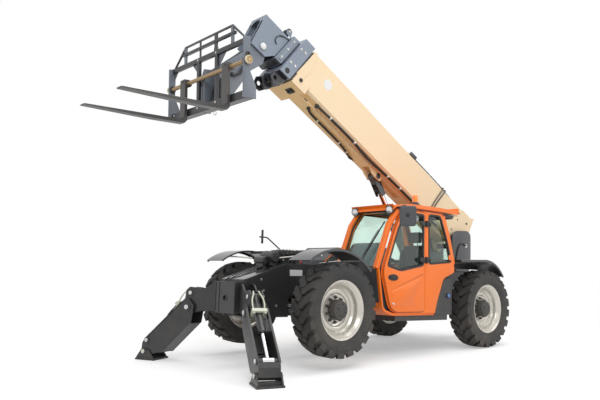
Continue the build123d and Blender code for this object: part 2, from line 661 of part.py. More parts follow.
lift_s, lift_h = 2375, -60   # eye of the lift cylinder in the boom's frame
lift_bore = 45
ear_y = (74, 98)             # inner and outer face of the ears that hold the eye
keel_low, keel_half = -30, 110
cheek_low = -70              # lower edge of the reinforced nose
with BuildPart() as boom_base:
    tube("base", 130, boom_length + 180)
    half, low, high, wall = SECTIONS["base"]
    across([(boom_length + lean(-200), -200), (boom_length + 480, -200), (boom_length + 480, 900),
            (boom_length + lean(900), 900)], half + 5, mode=Mode.SUBTRACT)
    for y_high in (half, wall + 4 - half):
        slab([(-70, 672), (-196, 744), (-192, 379), (-125, 0), (-90, -85), (90, -85), (180, 20), (180, high)],
             y_high, wall + 4)
    across([(-70, 660), (180, 660), (180, high), (-70, high - 4)], half)
    # keel under the side plates, open between the ears for the lift cylinder
    across([(260, low + 5), (320, keel_low), (boom_length + lean(keel_low), keel_low),
            (boom_length + lean(low), low + 5)], keel_half)
    block((lift_s - 720, lift_s + 245), (-ear_y[0], ear_y[0]), (keel_low - 10, low), mode=Mode.SUBTRACT)
    # reinforced nose
    for y_high in (half + 30, -half):
        slab([(boom_length - 220, cheek_low), (boom_length + lean(cheek_low), cheek_low),
              (boom_length + lean(120), 120), (boom_length - 250, 120)], y_high, 30)
    across([(boom_length - 220, cheek_low), (boom_length + lean(cheek_low), cheek_low),
            (boom_length + lean(keel_low), keel_low), (boom_length - 230, keel_low)], half + 30)
    # ears of the lift cylinder, and the pin that its eye turns on
    for y_high in (ear_y[1], -ear_y[0]):
        slab([(lift_s - 140, low), (lift_s - 100, -100), (lift_s - 65, -112), (lift_s + 45, -112),
              (lift_s + 135, -95), (lift_s + 250, keel_low), (lift_s + 380, low)], y_high, ear_y[1] - ear_y[0])
    rod_y(lift_s, lift_h, lift_bore, (-ear_y[1] - 16, ear_y[1] + 16))
    for s in (1, -1):
        rod_y(0, 0, 95, sorted((s * (half - 60), s * (half + 12))))
    rod_y(0, 0, boom_pin + fit, (-half - 20, half + 20), mode=Mode.SUBTRACT)
keep(boom_base.part.moved(boom_place), "boom_base")

nose = boom_length
with BuildPart() as boom_second:
    tube("second", 180, nose + 150)
    collar(nose + 40, nose + 260, 275, -70, 705, "second")
keep(boom_second.part.moved(boom_place), "boom_second")

with BuildPart() as boom_third:
    tube("third", 230, nose + 300)
    collar(nose + 290, nose + 420, 222, 62, 612, "third")
keep(boom_third.part.moved(boom_place), "boom_third")

head_half, head_wall = 180, 16
tilt_base, tilt_base_pin = (boom_length - 20, 300), 25
head_nose = tilt_s + 205
with BuildPart() as boom_fly:
    tube("fly", 280, nose + 480)
    half, low, high, wall = SECTIONS["fly"]
    head_low = -30
    across([(nose + 428 + lean(high), high), (head_nose, high), (head_nose - 25, head_low), (tilt_s - 110, head_low),
            (nose + 440 + lean(low), low), (nose + 428 + lean(low), low)], head_half)
    across([(nose + 200, high - head_wall), (head_nose - 14, high - head_wall), (head_nose - 37, head_low - 30),
            (tilt_s - 95, head_low - 30), (tilt_s - 205, low + 5), (tilt_s - 205, low + wall),
            (nose + 200, low + wall)], half - 8, mode=Mode.SUBTRACT)
    across([(tilt_s - 250, high - head_wall), (head_nose - 14, high - head_wall), (head_nose + 30, low + 20),
            (head_nose + 30, head_low - 30), (tilt_s - 260, head_low - 30), (tilt_s - 260, low + 15),
            (tilt_s - 250, low + 20)], head_half - head_wall, mode=Mode.SUBTRACT)
    # oval opening in the head's front plate
    with BuildSketch(Plane.YZ.offset(head_nose - 60)) as oval:
        with Locations((0, 275)):
            SlotCenterToCenter(190, 230, rotation=90)
    extrude(oval.sketch, amount=120, dir=(1, 0, 0), mode=Mode.SUBTRACT)
    rod_y(tilt_s, tilt_h, tilt_pin, (-head_half - 14, head_half + 14))
    rod_y(*tilt_base, tilt_base_pin, (-half + wall, half - wall))
keep(boom_fly.part.moved(boom_place), "boom_fly")

# ---------------------------------------------------------------- lift cylinder
lift_eye = (boom_x + lift_s * cos(radians(boom_angle)) - lift_h * sin(radians(boom_angle)),
            boom_z + lift_s * sin(radians(boom_angle)) + lift_h * cos(radians(boom_angle)))
lift_barrel = (1450, 90)
lift_piston = (1436, 50)
lift_neck = 320              # from the eye to the piston rod's end
lift_reach, lift_place = length_and_place((lift_x, lift_z), lift_eye)
keep(barrel_part(*lift_barrel, lift_piston[1], lift_pin, lift_eye_radius, lift_eye_half).moved(lift_place),
     "lift_barrel")
with BuildPart() as lift_rod:
    rod_x(0, 0, lift_piston[1], (lift_reach - lift_neck - lift_piston[0], lift_reach - lift_neck))
keep(lift_rod.part.moved(lift_place), "lift_rod")

# The eye swings on the boom's pin.  Its two cheeks reach past the rod's end, which can
# wander between them.
cheek_plate = 12
with BuildPart() as lift_clevis:
    eye_half = ear_y[0] - gap
    rod_y(lift_reach, 0, lift_eye_radius, (-eye_half, eye_half))
    across([(lift_reach - 130, -54), (lift_reach - 130, 54), (lift_reach, 56), (lift_reach, -56)], eye_half)
    for y_high in (eye_half, cheek_plate - eye_half):
        slab([(lift_reach - 375, -46), (lift_reach - 375, 46), (lift_reach - 340, 60), (lift_reach - 100, 56),
              (lift_reach - 100, -56), (lift_reach - 340, -60)], y_high, cheek_plate)
    rod_y(lift_reach, 0, lift_bore + fit, (-eye_half, eye_half), mode=Mode.SUBTRACT)
keep(lift_clevis.part.moved(lift_place), "lift_clevis")

# ---------------------------------------------------------------- fork carriage
tilt_x = boom_x + tilt_s * cos(radians(boom_angle)) - tilt_h * sin(radians(boom_angle))
tilt_z = boom_z + tilt_s * sin(radians(boom_angle)) + tilt_h * cos(radians(boom_angle))
carriage_place = Location((tilt_x, 0, tilt_z), (0, pitch, 0))
coupler_half, coupler_plate = 150, 24
rail_low, rail_high = -1060, -950
guard_low, guard_high = -322, -255
with BuildPart() as carriage:
    lever = 150
    lever_angle = 100 + boom_angle + pitch
    lever_end = (lever * cos(radians(lever_angle)), lever * sin(radians(lever_angle)))
    for y_high in (coupler_half, coupler_plate - coupler_half):
        with BuildSketch(side_plane(y_high)) as cheek:
            outline([(-77, -60), (-72, -103), (-30, -248), (190, -394), (420, -700), (690, rail_low), (800, rail_low),
                     (800, -430), (687, -419), (329, -148), (130, 10), (lever_end[0] + 45, lever_end[1] + 40),
                     (lever_end[0] - 45, lever_end[1] + 10)])
            Circle(tilt_pin + fit, mode=Mode.SUBTRACT)
        extrude(cheek.sketch, amount=coupler_plate, dir=(0, -1, 0))
    # side plates of the fork frame
    for y_high in (carriage_half + 20, 20 - carriage_half + 20):
        with BuildSketch(side_plane(y_high)) as cheek:
            outline([(795, -244), (905, -268), (905, rail_low), (700, rail_low), (700, -900), (800, -697)])
            outline([(780, -820), (860, -820), (860, -700), (815, -700)])
        extrude(cheek.sketch, amount=20, dir=(0, -1, 0))
    rail_half = carriage_half
    block((720, 850), (-rail_half, rail_half), (rail_low, rail_high))
    block((800, 850), (-rail_half, rail_half), (guard_low, guard_high))
    # uprights of the fork frame and the load guard above it
    for y in (-230, 230):
        block((800, 850), (y - 30, y + 30), (rail_high, guard_low))
    for z, top_half, radius in ((-5, 612, 13), (-115, 668, 20)):
        block((826 - radius, 826 + radius), (-top_half, top_half), (z - radius, z + radius))
    for y in (-600, -200, 200, 600):
        block((815, 837), (y - 14, y + 14), (guard_high, -5))
    for s in (1, -1):
        with BuildSketch(Plane.YZ.offset(813)) as slope:
            outline([(s * carriage_half, guard_high - 20), (s * (carriage_half - 30), guard_high - 20),
                     (s * 590, -18), (s * 612, 8)])
        extrude(slope.sketch, amount=26, dir=(1, 0, 0))
        rod_y(shaft_x, shaft_z, 52, sorted((s * (carriage_half - 20), s * (carriage_half + 40))))
    rod_y(shaft_x, shaft_z, shaft_radius + fit, (-carriage_half - 60, carriage_half + 60), mode=Mode.SUBTRACT)
keep(carriage.part.moved(carriage_place), "carriage")

with BuildPart() as fork_shaft:
    rod_y(shaft_x, shaft_z, shaft_radius, (-carriage_half - 55, carriage_half + 55))
    for s in (1, -1):
        rod_y(shaft_x, shaft_z, 46, sorted((s * (carriage_half + 41), s * (carriage_half + 80))))
keep(fork_shaft.part.moved(carriage_place), "fork_shaft")

with BuildPart() as fork:
    top = shaft_z + 55
    with BuildSketch(side_plane(fork_width / 2)):
        outline([(fork_heel_x, shaft_z), (fork_heel_x, fork_bottom + 40), (fork_heel_x + 40, fork_bottom),
                 (fork_heel_x + 500, fork_bottom), (fork_tip_x - 20, fork_bottom + 34),
                 (fork_tip_x, fork_bottom + fork_thick - 6), (fork_tip_x - 30, fork_bottom + fork_thick),
                 (fork_heel_x + 110, fork_bottom + fork_thick),
                 (fork_heel_x + fork_thick, fork_bottom + fork_thick + 50), (fork_heel_x + fork_thick, top),
                 (shaft_x - 20, top), (shaft_x - 60, shaft_z + 20), (shaft_x - 60, shaft_z - 25)])
        with Locations((shaft_x, shaft_z)):
            Circle(shaft_radius + fit, mode=Mode.SUBTRACT)
    extrude(amount=fork_width)
for side_name, s in SIDES:
    keep(fork.part.moved(Location((0, s * fork_place, 0))).moved(carriage_place), f"fork_{side_name}")

# tilt cylinder: its barrel sits in the fly section, its rod's eye meets the lever
tilt_eye = (tilt_s + lever * cos(radians(100)), tilt_h + lever * sin(radians(100)))
tilt_barrel = (560, 55)
tilt_piston = (480, 30)
tilt_reach, tilt_line = length_and_place(tilt_base, tilt_eye)
tilt_place = boom_place * tilt_line
keep(barrel_part(*tilt_barrel, tilt_piston[1], tilt_base_pin, 50, 60).moved(tilt_place), "tilt_barrel")
keep(rod_part(tilt_reach, *tilt_piston, 25, 44, 60).moved(tilt_place), "tilt_rod")

# ---------------------------------------------------------------- mirrors, lamps and valve block
mirror_at = (2380, 1550, 1385)
arm_foot = (2290, cab_out + 8, 1518)
with BuildPart() as mirrors:
    with Locations(Location(mirror_at, (0, 0, 41))):
        Box(45, 245, 300)
    rod_z(mirror_at[0], mirror_at[1], 13, (mirror_at[2], 1545))
    block((arm_foot[0] - 35, arm_foot[0] + 35), (arm_foot[1], arm_foot[1] + 14), (1500, 1536))
    run, rise = mirror_at[0] - arm_foot[0], mirror_at[1] - arm_foot[1] - 8
    with Locations(Location((arm_foot[0] + run / 2, arm_foot[1] + 8 + rise / 2, arm_foot[2]),
                            (0, 0, degrees(atan2(rise, run))))):
        Box(hypot(run, rise), 22, 22)
keep(mirrors.part.moved(cab_place), "mirrors")

with BuildPart() as valve_block:
    block((wheelbase - 168, wheelbase + 172), (-120, 160), (frame_top, 820))
keep(valve_block.part, "valve_block")

with BuildPart() as beacon:
    rod_z(1850, 1090, 50, (1612, 1640))
    rod_z(1850, 1090, 44, (1640, 1770))
keep(beacon.part.moved(cab_place), "beacon")

# ---------------------------------------------------------------- park the machine
# The rear axle's centre comes to rest a tyre radius above the ground, and the origin
# is on the ground under the middle of the whole machine.
stance = Location((-origin_x, 0, tyre_radius), (0, -pitch, 0))
os.makedirs("parts", exist_ok=True)
for name, shape in pieces.items():
    placed = shape.moved(stance)
    placed.label = name
    export_step(placed, f"parts/{name}.step")
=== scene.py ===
"""Looks of a telehandler: four-section boom, fork carriage, left-hand cab and two outriggers.

Pieces are modelled in metres in the machine's own level frame, which has the rear axle's
centre as origin, or in the boom's, a leg's or the carriage's frame.  Each then takes its
place from one of the matrices below.
"""

import json
from math import atan2, cos, hypot, pi, radians, sin

import bmesh
import bpy
from mathutils import Matrix, Vector

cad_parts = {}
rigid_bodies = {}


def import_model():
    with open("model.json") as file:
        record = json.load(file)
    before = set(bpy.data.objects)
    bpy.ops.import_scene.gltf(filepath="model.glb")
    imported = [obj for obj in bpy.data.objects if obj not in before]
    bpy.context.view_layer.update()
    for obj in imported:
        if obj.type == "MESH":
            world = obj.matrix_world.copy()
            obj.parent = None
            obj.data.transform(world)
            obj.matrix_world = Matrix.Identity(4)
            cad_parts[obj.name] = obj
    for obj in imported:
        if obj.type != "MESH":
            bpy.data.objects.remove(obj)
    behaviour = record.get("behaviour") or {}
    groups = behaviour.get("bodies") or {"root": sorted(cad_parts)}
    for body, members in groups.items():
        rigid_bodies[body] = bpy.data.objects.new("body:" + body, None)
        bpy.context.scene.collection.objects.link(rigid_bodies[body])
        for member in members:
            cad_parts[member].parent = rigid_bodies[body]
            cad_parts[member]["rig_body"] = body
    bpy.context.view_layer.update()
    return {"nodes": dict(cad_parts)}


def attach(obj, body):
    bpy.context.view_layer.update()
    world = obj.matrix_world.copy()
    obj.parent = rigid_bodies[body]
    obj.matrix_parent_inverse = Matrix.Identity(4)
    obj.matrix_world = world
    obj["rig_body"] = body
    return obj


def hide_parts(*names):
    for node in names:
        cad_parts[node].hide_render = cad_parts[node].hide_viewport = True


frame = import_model()
nodes = frame["nodes"]

# ---------------------------------------------------------------- frames of reference
PITCH = radians(2.45)        # the parked machine's nose-up angle
ORIGIN_X = 2.640
TYRE_R, WHEELBASE, WHEEL_Y = 0.650, 3.468, 1.084
BOOM_ANGLE = radians(28.5)
BOOM_PIVOT = (-0.55, 0, 1.12)
LEG_TURN = radians(90 - 22.6)
LEG_PIN_X, LEG_PIN_Y = 4.849, 1.405
LEG_CYL_RUN, LEG_CYL_TOP, LEG_CYL_FOOT = 0.720, 0.150, -0.573
SIDES = (("left", 1), ("right", -1))


def shift(x, y, z):
    return Matrix.Translation((x, y, z))


def nose_up(angle):
    return Matrix.Rotation(-angle, 4, "Y")


MACHINE = shift(-ORIGIN_X, 0, TYRE_R) @ nose_up(PITCH)
BOOM = MACHINE @ shift(*BOOM_PIVOT) @ nose_up(BOOM_ANGLE)
TILT_PIN = (5.440, 0.0, 0.070)
CARRIAGE = Matrix.Translation((BOOM @ Vector(TILT_PIN)))
LEG = {name: MACHINE @ shift(LEG_PIN_X, s * LEG_PIN_Y, 0) @ Matrix.Rotation(s * LEG_TURN, 4, "Z")
       for name, s in SIDES}
LEG_CYL = nose_up(atan2(LEG_CYL_FOOT - LEG_CYL_TOP, LEG_CYL_RUN))


def wheel_at(end, side):
    x = WHEELBASE if end == "front" else 0.0
    s = dict(SIDES)[side]
    turn = Matrix.Rotation(0 if s > 0 else pi, 4, "Z")
    return MACHINE @ shift(x, s * WHEEL_Y, 0) @ turn


# ---------------------------------------------------------------- shader node groups
class Graph:
    """Thin wrapper that adds and links the nodes of one tree."""

    def __init__(self, tree):
        self.tree = tree

    def add(self, kind, values=(), **settings):
        node = self.tree.nodes.new(kind)
        for key, value in settings.items():
            setattr(node, key, value)
        for key, value in dict(values).items():
            if isinstance(value, bpy.types.NodeSocket):
                self.tree.links.new(value, node.inputs[key])
            else:
                node.inputs[key].default_value = value
        return node

    def math(self, how, a, b=0.0, clamp=False):
        node = self.add("ShaderNodeMath", {0: a, 1: b}, operation=how, use_clamp=clamp)
        return node.outputs[0]

    def ramp(self, value, low, high):
        """0 at low, 1 at high, smooth between."""
        node = self.add("ShaderNodeMapRange", {"Value": value, "From Min": low, "From Max": high},
                        interpolation_type="SMOOTHSTEP")
        return node.outputs["Result"]

    def mix(self, factor, a, b, blend="MIX"):
        node = self.add("ShaderNodeMix", data_type="RGBA", blend_type=blend)
        for socket, value in ((node.inputs[0], factor), (node.inputs[6], a), (node.inputs[7], b)):
            if isinstance(value, bpy.types.NodeSocket):
                self.tree.links.new(value, socket)
            else:
                socket.default_value = value
        return node.outputs[2]

    def noise(self, scale, detail=3.0, rough=0.5, where=None):
        values = {"Scale": scale, "Detail": detail, "Roughness": rough}
        if where is not None:
            values["Vector"] = where
        return self.add("ShaderNodeTexNoise", values).outputs["Fac"]


def shader_group(name, inputs, outputs):
    """New node group; returns its graph, its input node's sockets and its output node."""
    tree = bpy.data.node_groups.new(name, "ShaderNodeTree")
    for label, kind, value in inputs:
        socket = tree.interface.new_socket(name=label, in_out="INPUT", socket_type=kind)
        socket.default_value = value
    for label, kind in outputs:
        tree.interface.new_socket(name=label, in_out="OUTPUT", socket_type=kind)
    graph = Graph(tree)
    return graph, graph.add("NodeGroupInput").outputs, graph.add("NodeGroupOutput").inputs


FLOAT, COLOUR = "NodeSocketFloat", "NodeSocketColor"


def make_edge_wear():
    """Mask of rubbed edges: where a rounded normal leaves the true one, broken up by noise."""
    g, i, o = shader_group("rubbed_edges", [("Width", FLOAT, 0.006), ("Amount", FLOAT, 0.5)],
                           [("Mask", FLOAT)])
    bevel = g.add("ShaderNodeBevel", {"Radius": i["Width"]}, samples=4)
    true_normal = g.add("ShaderNodeNewGeometry").outputs["Normal"]
    dot = g.add("ShaderNodeVectorMath", {0: bevel.outputs[0], 1: true_normal}, operation="DOT_PRODUCT")
    edge = g.ramp(g.math("SUBTRACT", 1.0, dot.outputs["Value"]), 0.02, 0.16)
    where = g.add("ShaderNodeTexCoord").outputs["Object"]
    patches = g.ramp(g.noise(9.0, 5.0, 0.65, where), 0.42, 0.62)
    mask = g.math("MULTIPLY", g.math("MULTIPLY", edge, patches), i["Amount"], clamp=True)
    g.tree.links.new(mask, o["Mask"])
    return g.tree


def make_road_dust():
    """Mask of dust: thicker near the ground and on faces that look up."""
    g, i, o = shader_group("road_dust", [("Amount", FLOAT, 0.4), ("Height", FLOAT, 1.3)],
                           [("Mask", FLOAT)])
    where = g.add("ShaderNodeTexCoord").outputs["Object"]
    height = g.add("ShaderNodeSeparateXYZ", {0: where}).outputs["Z"]
    low = g.math("SUBTRACT", 1.0, g.math("DIVIDE", height, i["Height"]), clamp=True)
    up = g.add("ShaderNodeSeparateXYZ", {0: g.add("ShaderNodeNewGeometry").outputs["Normal"]})
    ledge = g.math("MULTIPLY", g.math("MAXIMUM", up.outputs["Z"], 0.0), 0.35)
    cloud = g.ramp(g.noise(3.5, 6.0, 0.62, where), 0.3, 0.75)
    fine = g.noise(60.0, 3.0, 0.6, where)
    body = g.math("MULTIPLY", g.math("ADD", low, ledge), cloud)
    mask = g.math("MULTIPLY", g.math("MULTIPLY", body, g.math("ADD", fine, 0.4)), i["Amount"], clamp=True)
    g.tree.links.new(mask, o["Mask"])
    return g.tree


def make_mottle():
    """Colour with slow, slight drifts of brightness."""
    g, i, o = shader_group("drifting_tone", [("Color", COLOUR, (1, 1, 1, 1)), ("Amount", FLOAT, 0.08),
                                             ("Scale", FLOAT, 2.0)], [("Color", COLOUR)])
    where = g.add("ShaderNodeTexCoord").outputs["Object"]
    drift = g.math("SUBTRACT", g.noise(i["Scale"], 4.0, 0.55, where), 0.5)
    value = g.math("ADD", g.math("MULTIPLY", drift, i["Amount"]), 1.0)
    hsv = g.add("ShaderNodeHueSaturation", {"Value": value, "Color": i["Color"]})
    g.tree.links.new(hsv.outputs[0], o["Color"])
    return g.tree


def make_skin():
    """Height of a sprayed or moulded surface: coarse ripple plus fine grain."""
    g, i, o = shader_group("surface_skin", [("Ripple", FLOAT, 90.0), ("Grain", FLOAT, 700.0),
                                            ("Grain share", FLOAT, 0.4)],
                           [("Height", FLOAT), ("Tone", FLOAT)])
    where = g.add("ShaderNodeTexCoord").outputs["Object"]
    ripple = g.noise(i["Ripple"], 2.0, 0.5, where)
    grain = g.math("MULTIPLY", g.noise(i["Grain"], 2.0, 0.6, where), i["Grain share"])
    g.tree.links.new(g.math("ADD", ripple, grain), o["Height"])
    g.tree.links.new(g.noise(5.0, 5.0, 0.6, where), o["Tone"])
    return g.tree


EDGE, DUST, TONE, SKIN = make_edge_wear(), make_road_dust(), make_mottle(), make_skin()
DUST_COLOUR = (0.235, 0.20, 0.155, 1)


def finish(name, colour, rough, metallic=0.0, coat=0.0, drift=0.10, dust=0.30, wear=None, wear_amount=0.5,
           wear_width=0.006, bump=0.06, ripple=90.0, grain=700.0, grain_share=0.4, spread=0.16, sheen=0.0,
           glow=None):
    """Procedural surface: drifting tone, rubbed edges, road dust, varied roughness and skin."""
    material = bpy.data.materials.new(name)
    material.use_nodes = True
    g = Graph(material.node_tree)
    shader = material.node_tree.nodes["Principled BSDF"]

    def use(tree, values):
        node = g.add("ShaderNodeGroup")
        node.node_tree = tree
        for key, value in values.items():
            if isinstance(value, bpy.types.NodeSocket):
                g.tree.links.new(value, node.inputs[key])
            else:
                node.inputs[key].default_value = value
        return node.outputs

    base = use(TONE, {"Color": (*colour, 1), "Amount": drift, "Scale": 2.0})["Color"]
    skin = use(SKIN, {"Ripple": ripple, "Grain": grain, "Grain share": grain_share})
    roughness = g.math("ADD", g.math("MULTIPLY", g.math("SUBTRACT", skin["Tone"], 0.5), spread), rough, clamp=True)
    if wear is not None:
        rubbed = use(EDGE, {"Width": wear_width, "Amount": wear_amount})["Mask"]
        base = g.mix(rubbed, base, (*wear, 1))
    if dust:
        dirt = use(DUST, {"Amount": dust, "Height": 1.4})["Mask"]
        base = g.mix(dirt, base, DUST_COLOUR)
        roughness = g.math("ADD", roughness, g.math("MULTIPLY", dirt, 0.35), clamp=True)
    bump_node = g.add("ShaderNodeBump", {"Strength": bump, "Distance": 0.002, "Height": skin["Height"]})
    for key, value in (("Base Color", base), ("Roughness", roughness), ("Normal", bump_node.outputs[0])):
        g.tree.links.new(value, shader.inputs[key])
    shader.inputs["Metallic"].default_value = metallic
    shader.inputs["Coat Weight"].default_value = coat
    shader.inputs["Coat Roughness"].default_value = 0.12
    if sheen:
        shader.inputs["Sheen Weight"].default_value = sheen
    if glow:
        shader.inputs["Emission Color"].default_value = (*colour, 1)
        shader.inputs["Emission Strength"].default_value = glow
    material.diffuse_color = (*colour, 1)
    return material


def glazing(name, tint, rough=0.02):
    """Clear safety glass that lets light through to the cab's inside."""
    material = bpy.data.materials.new(name)
    material.use_nodes = True
    g = Graph(material.node_tree)
    shader = material.node_tree.nodes["Principled BSDF"]
    where = g.add("ShaderNodeTexCoord").outputs["Object"]
    smear = g.ramp(g.noise(4.0, 4.0, 0.6, where), 0.35, 0.8)
    g.tree.links.new(g.math("ADD", g.math("MULTIPLY", smear, 0.05), rough), shader.inputs["Roughness"])
    g.tree.links.new(g.mix(g.math("MULTIPLY", smear, 0.25), (*tint, 1), (*[c * 0.9 for c in tint], 1)),
                     shader.inputs["Base Color"])
    shader.inputs["Transmission Weight"].default_value = 1.0
    shader.inputs["IOR"].default_value = 1.45
    clear = g.add("ShaderNodeBsdfTransparent", {"Color": (*tint, 1)})
    path = g.add("ShaderNodeLightPath")
    blend = g.add("ShaderNodeMixShader", {0: path.outputs["Is Shadow Ray"], 1: shader.outputs[0],
                                          2: clear.outputs[0]})
    g.tree.links.new(blend.outputs[0], material.node_tree.nodes["Material Output"].inputs["Surface"])
    material.diffuse_color = (*tint, 0.4)
    return material


STEEL = (0.42, 0.41, 0.40)
M = {
    "cab_orange": finish("cab_orange", (0.93, 0.180, 0.004), 0.42, coat=0.12, drift=0.05, dust=0.03,
                         wear=(0.55, 0.10, 0.02), wear_amount=0.25, bump=0.05),
    "boom_cream": finish("boom_cream", (0.86, 0.67, 0.43), 0.42, coat=0.15, drift=0.05, dust=0.06,
                         wear=(0.62, 0.50, 0.34), wear_amount=0.3, bump=0.05),
    "head_grey": finish("head_grey", (0.225, 0.265, 0.325), 0.42, coat=0.1, drift=0.10, dust=0.05,
                        wear=(0.33, 0.34, 0.35), wear_amount=0.45),
    "frame_black": finish("frame_black", (0.022, 0.022, 0.024), 0.40, coat=0.1, drift=0.25, dust=0.20,
                          wear=(0.13, 0.13, 0.13), wear_amount=0.5),
    "fender_black": finish("fender_black", (0.040, 0.042, 0.048), 0.30, coat=0.4, drift=0.15, dust=0.12, bump=0.12,
                           ripple=240.0, grain=900.0),
    "tyre_rubber": finish("tyre_rubber", (0.030, 0.029, 0.029), 0.72, drift=0.3, dust=0.34, bump=0.35,
                          ripple=150.0, grain=900.0, wear=(0.075, 0.072, 0.068), wear_amount=0.6,
                          wear_width=0.012),
    "rim_silver": finish("rim_silver", (0.62, 0.59, 0.53), 0.26, metallic=0.40, drift=0.06, dust=0.10,
                         wear=(0.45, 0.42, 0.37), wear_amount=0.15),
    "hub_black": finish("hub_black", (0.035, 0.033, 0.031), 0.48, drift=0.3, dust=0.35, wear=(0.16, 0.15, 0.14)),
    "zinc": finish("zinc", (0.60, 0.58, 0.53), 0.30, metallic=0.9, drift=0.15, dust=0.12, bump=0.1),
    "dark_steel": finish("dark_steel", (0.055, 0.053, 0.050), 0.42, metallic=0.4, drift=0.3, dust=0.1,
                         wear=STEEL, wear_amount=0.5),
    "fork_steel": finish("fork_steel", (0.085, 0.082, 0.080), 0.40, metallic=0.45, drift=0.35, dust=0.05,
                         wear=(0.36, 0.27, 0.21), wear_amount=0.7, wear_width=0.012, bump=0.15, ripple=40.0),
    "shaft_tan": finish("shaft_tan", (0.40, 0.27, 0.14), 0.38, metallic=0.5, drift=0.3, dust=0.05),
    "cap_cream": finish("cap_cream", (0.80, 0.68, 0.46), 0.45, drift=0.1, dust=0.05),
    "chrome_rod": finish("chrome_rod", (0.80, 0.80, 0.82), 0.10, metallic=1.0, drift=0.05, dust=0.03, bump=0.02,
                         spread=0.08),
    "barrel_black": finish("barrel_black", (0.025, 0.025, 0.027), 0.30, coat=0.3, drift=0.2, dust=0.15,
                           wear=(0.15, 0.15, 0.15)),
    "hose_rubber": finish("hose_rubber", (0.018, 0.018, 0.018), 0.55, drift=0.2, dust=0.10, bump=0.3, ripple=300.0),
    "gasket": finish("gasket", (0.015, 0.015, 0.016), 0.55, drift=0.2, dust=0.08, bump=0.15),
    "trim_grey": finish("trim_grey", (0.060, 0.063, 0.070), 0.50, drift=0.15, dust=0.05, bump=0.3, ripple=300.0),
    "dash_grey": finish("dash_grey", (0.10, 0.115, 0.135), 0.50, drift=0.1, dust=0.04, bump=0.3, ripple=300.0),
    "seat_cloth": finish("seat_cloth", (0.045, 0.047, 0.052), 0.85, drift=0.2, dust=0.03, bump=0.5, ripple=500.0,
                         grain=1500.0, sheen=0.3),
    "engine_iron": finish("engine_iron", (0.06, 0.06, 0.058), 0.6, metallic=0.3, drift=0.3, dust=0.4, bump=0.4,
                          ripple=60.0),
    "amber": finish("amber", (0.90, 0.26, 0.01), 0.15, coat=0.8, drift=0.05, dust=0.02, glow=0.12),
    "red_lens": finish("red_lens", (0.60, 0.03, 0.015), 0.18, coat=0.8, drift=0.05, dust=0.02),
    "lamp_glass": finish("lamp_glass", (0.75, 0.76, 0.78), 0.10, metallic=0.6, coat=0.8, drift=0.05, dust=0.02),
    "mirror_face": finish("mirror_face", (0.85, 0.87, 0.88), 0.04, metallic=1.0, drift=0.02, dust=0.02, bump=0.01,
                          spread=0.04),
    "label_white": finish("label_white", (0.78, 0.78, 0.77), 0.4, drift=0.04, dust=0.05),
    "carriage_grey": finish("carriage_grey", (0.155, 0.175, 0.205), 0.42, coat=0.1, drift=0.12, dust=0.05,
                            wear=(0.33, 0.34, 0.35), wear_amount=0.45),
    # painted shade: guard_black is the near-black that darkens the carriage's rails, load guard, coupler inside and
    # shaft bosses below carriage_grey; the collars' pad boxes and hangers take it too
    "guard_black": finish("guard_black", (0.024, 0.025, 0.030), 0.36, coat=0.15, drift=0.2, dust=0.05,
                          wear=(0.25, 0.25, 0.26), wear_amount=0.5, wear_width=0.008),
    "deck_gloss": finish("deck_gloss", (0.026, 0.026, 0.028), 0.20, coat=0.6, drift=0.2, dust=0.10),
    # painted shade: boom_shade is a deeper, warmer copy of boom_cream for the boom's down-facing faces
    "boom_shade": finish("boom_shade", (0.92, 0.62, 0.27), 0.42, coat=0.15, drift=0.06, dust=0.06,
                         wear=(0.62, 0.50, 0.34), wear_amount=0.3, bump=0.05),
    "valve_cream": finish("valve_cream", (0.66, 0.68, 0.55), 0.40, drift=0.1, dust=0.10),
    "cap_blue": finish("cap_blue", (0.10, 0.22, 0.55), 0.35, drift=0.1, dust=0.10),
    "cab_glass": glazing("cab_glass", (0.80, 0.93, 0.87)),
}

# ---------------------------------------------------------------- mesh helpers


def show_smooth(mesh, angle=35):
    mesh.polygons.foreach_set("use_smooth", [True] * len(mesh.polygons))
    mesh.set_sharp_from_angle(angle=radians(angle))


def place(name, bm, body, material, at=MACHINE, round_off=0.0, angle=35, replaces=()):
    """Turn a bmesh into a piece that rides on a body."""
    bmesh.ops.recalc_face_normals(bm, faces=bm.faces)
    mesh = bpy.data.meshes.new(name)
    bm.to_mesh(mesh)
    bm.free()
    mesh.transform(at)
    piece = bpy.data.objects.new(name, mesh)
    bpy.context.scene.collection.objects.link(piece)
    mesh.materials.append(M[material])
    show_smooth(mesh, angle)
    if round_off:
        rounded(piece, round_off)
    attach(piece, body)
    if replaces:
        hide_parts(*replaces)
    return piece


def rounded(piece, width, segments=2):
    bevel = piece.modifiers.new("rounded_edges", "BEVEL")
    bevel.width = width
    bevel.segments = segments
    bevel.limit_method = "ANGLE"
    bevel.angle_limit = radians(32)
    bevel.use_clamp_overlap = True
    bevel.harden_normals = True


def dress(node, material, width=0.0, body=None):
    """Give a CAD node its finish; with a width, a copy with rounded edges stands for it."""
    source = nodes[node]
    if not width:
        source.data.materials.clear()
        source.data.materials.append(M[material])
        return source
    bm = bmesh.new()
    bm.from_mesh(source.data)
    bmesh.ops.remove_doubles(bm, verts=bm.verts, dist=2e-5)
    bmesh.ops.dissolve_limit(bm, angle_limit=radians(0.6), verts=bm.verts, edges=bm.edges)
    return place(node + "_body", bm, body or source["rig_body"], material, at=Matrix.Identity(4),
                 round_off=width, replaces=(node,))


def prism(bm, outline, low, high, axis="Y"):
    """Solid between two copies of an outline; the outline is (x, z) for axis Y."""
    def point(p, h):
        return {"Y": (p[0], h, p[1]), "X": (h, p[0], p[1]), "Z": (p[0], p[1], h)}[axis]
    bottom = [bm.verts.new(point(p, low)) for p in outline]
    top = [bm.verts.new(point(p, high)) for p in outline]
    n = len(outline)
    bm.faces.new(bottom[::-1])
    bm.faces.new(top)
    for k in range(n):
        bm.faces.new((bottom[k], bottom[(k + 1) % n], top[(k + 1) % n], top[k]))


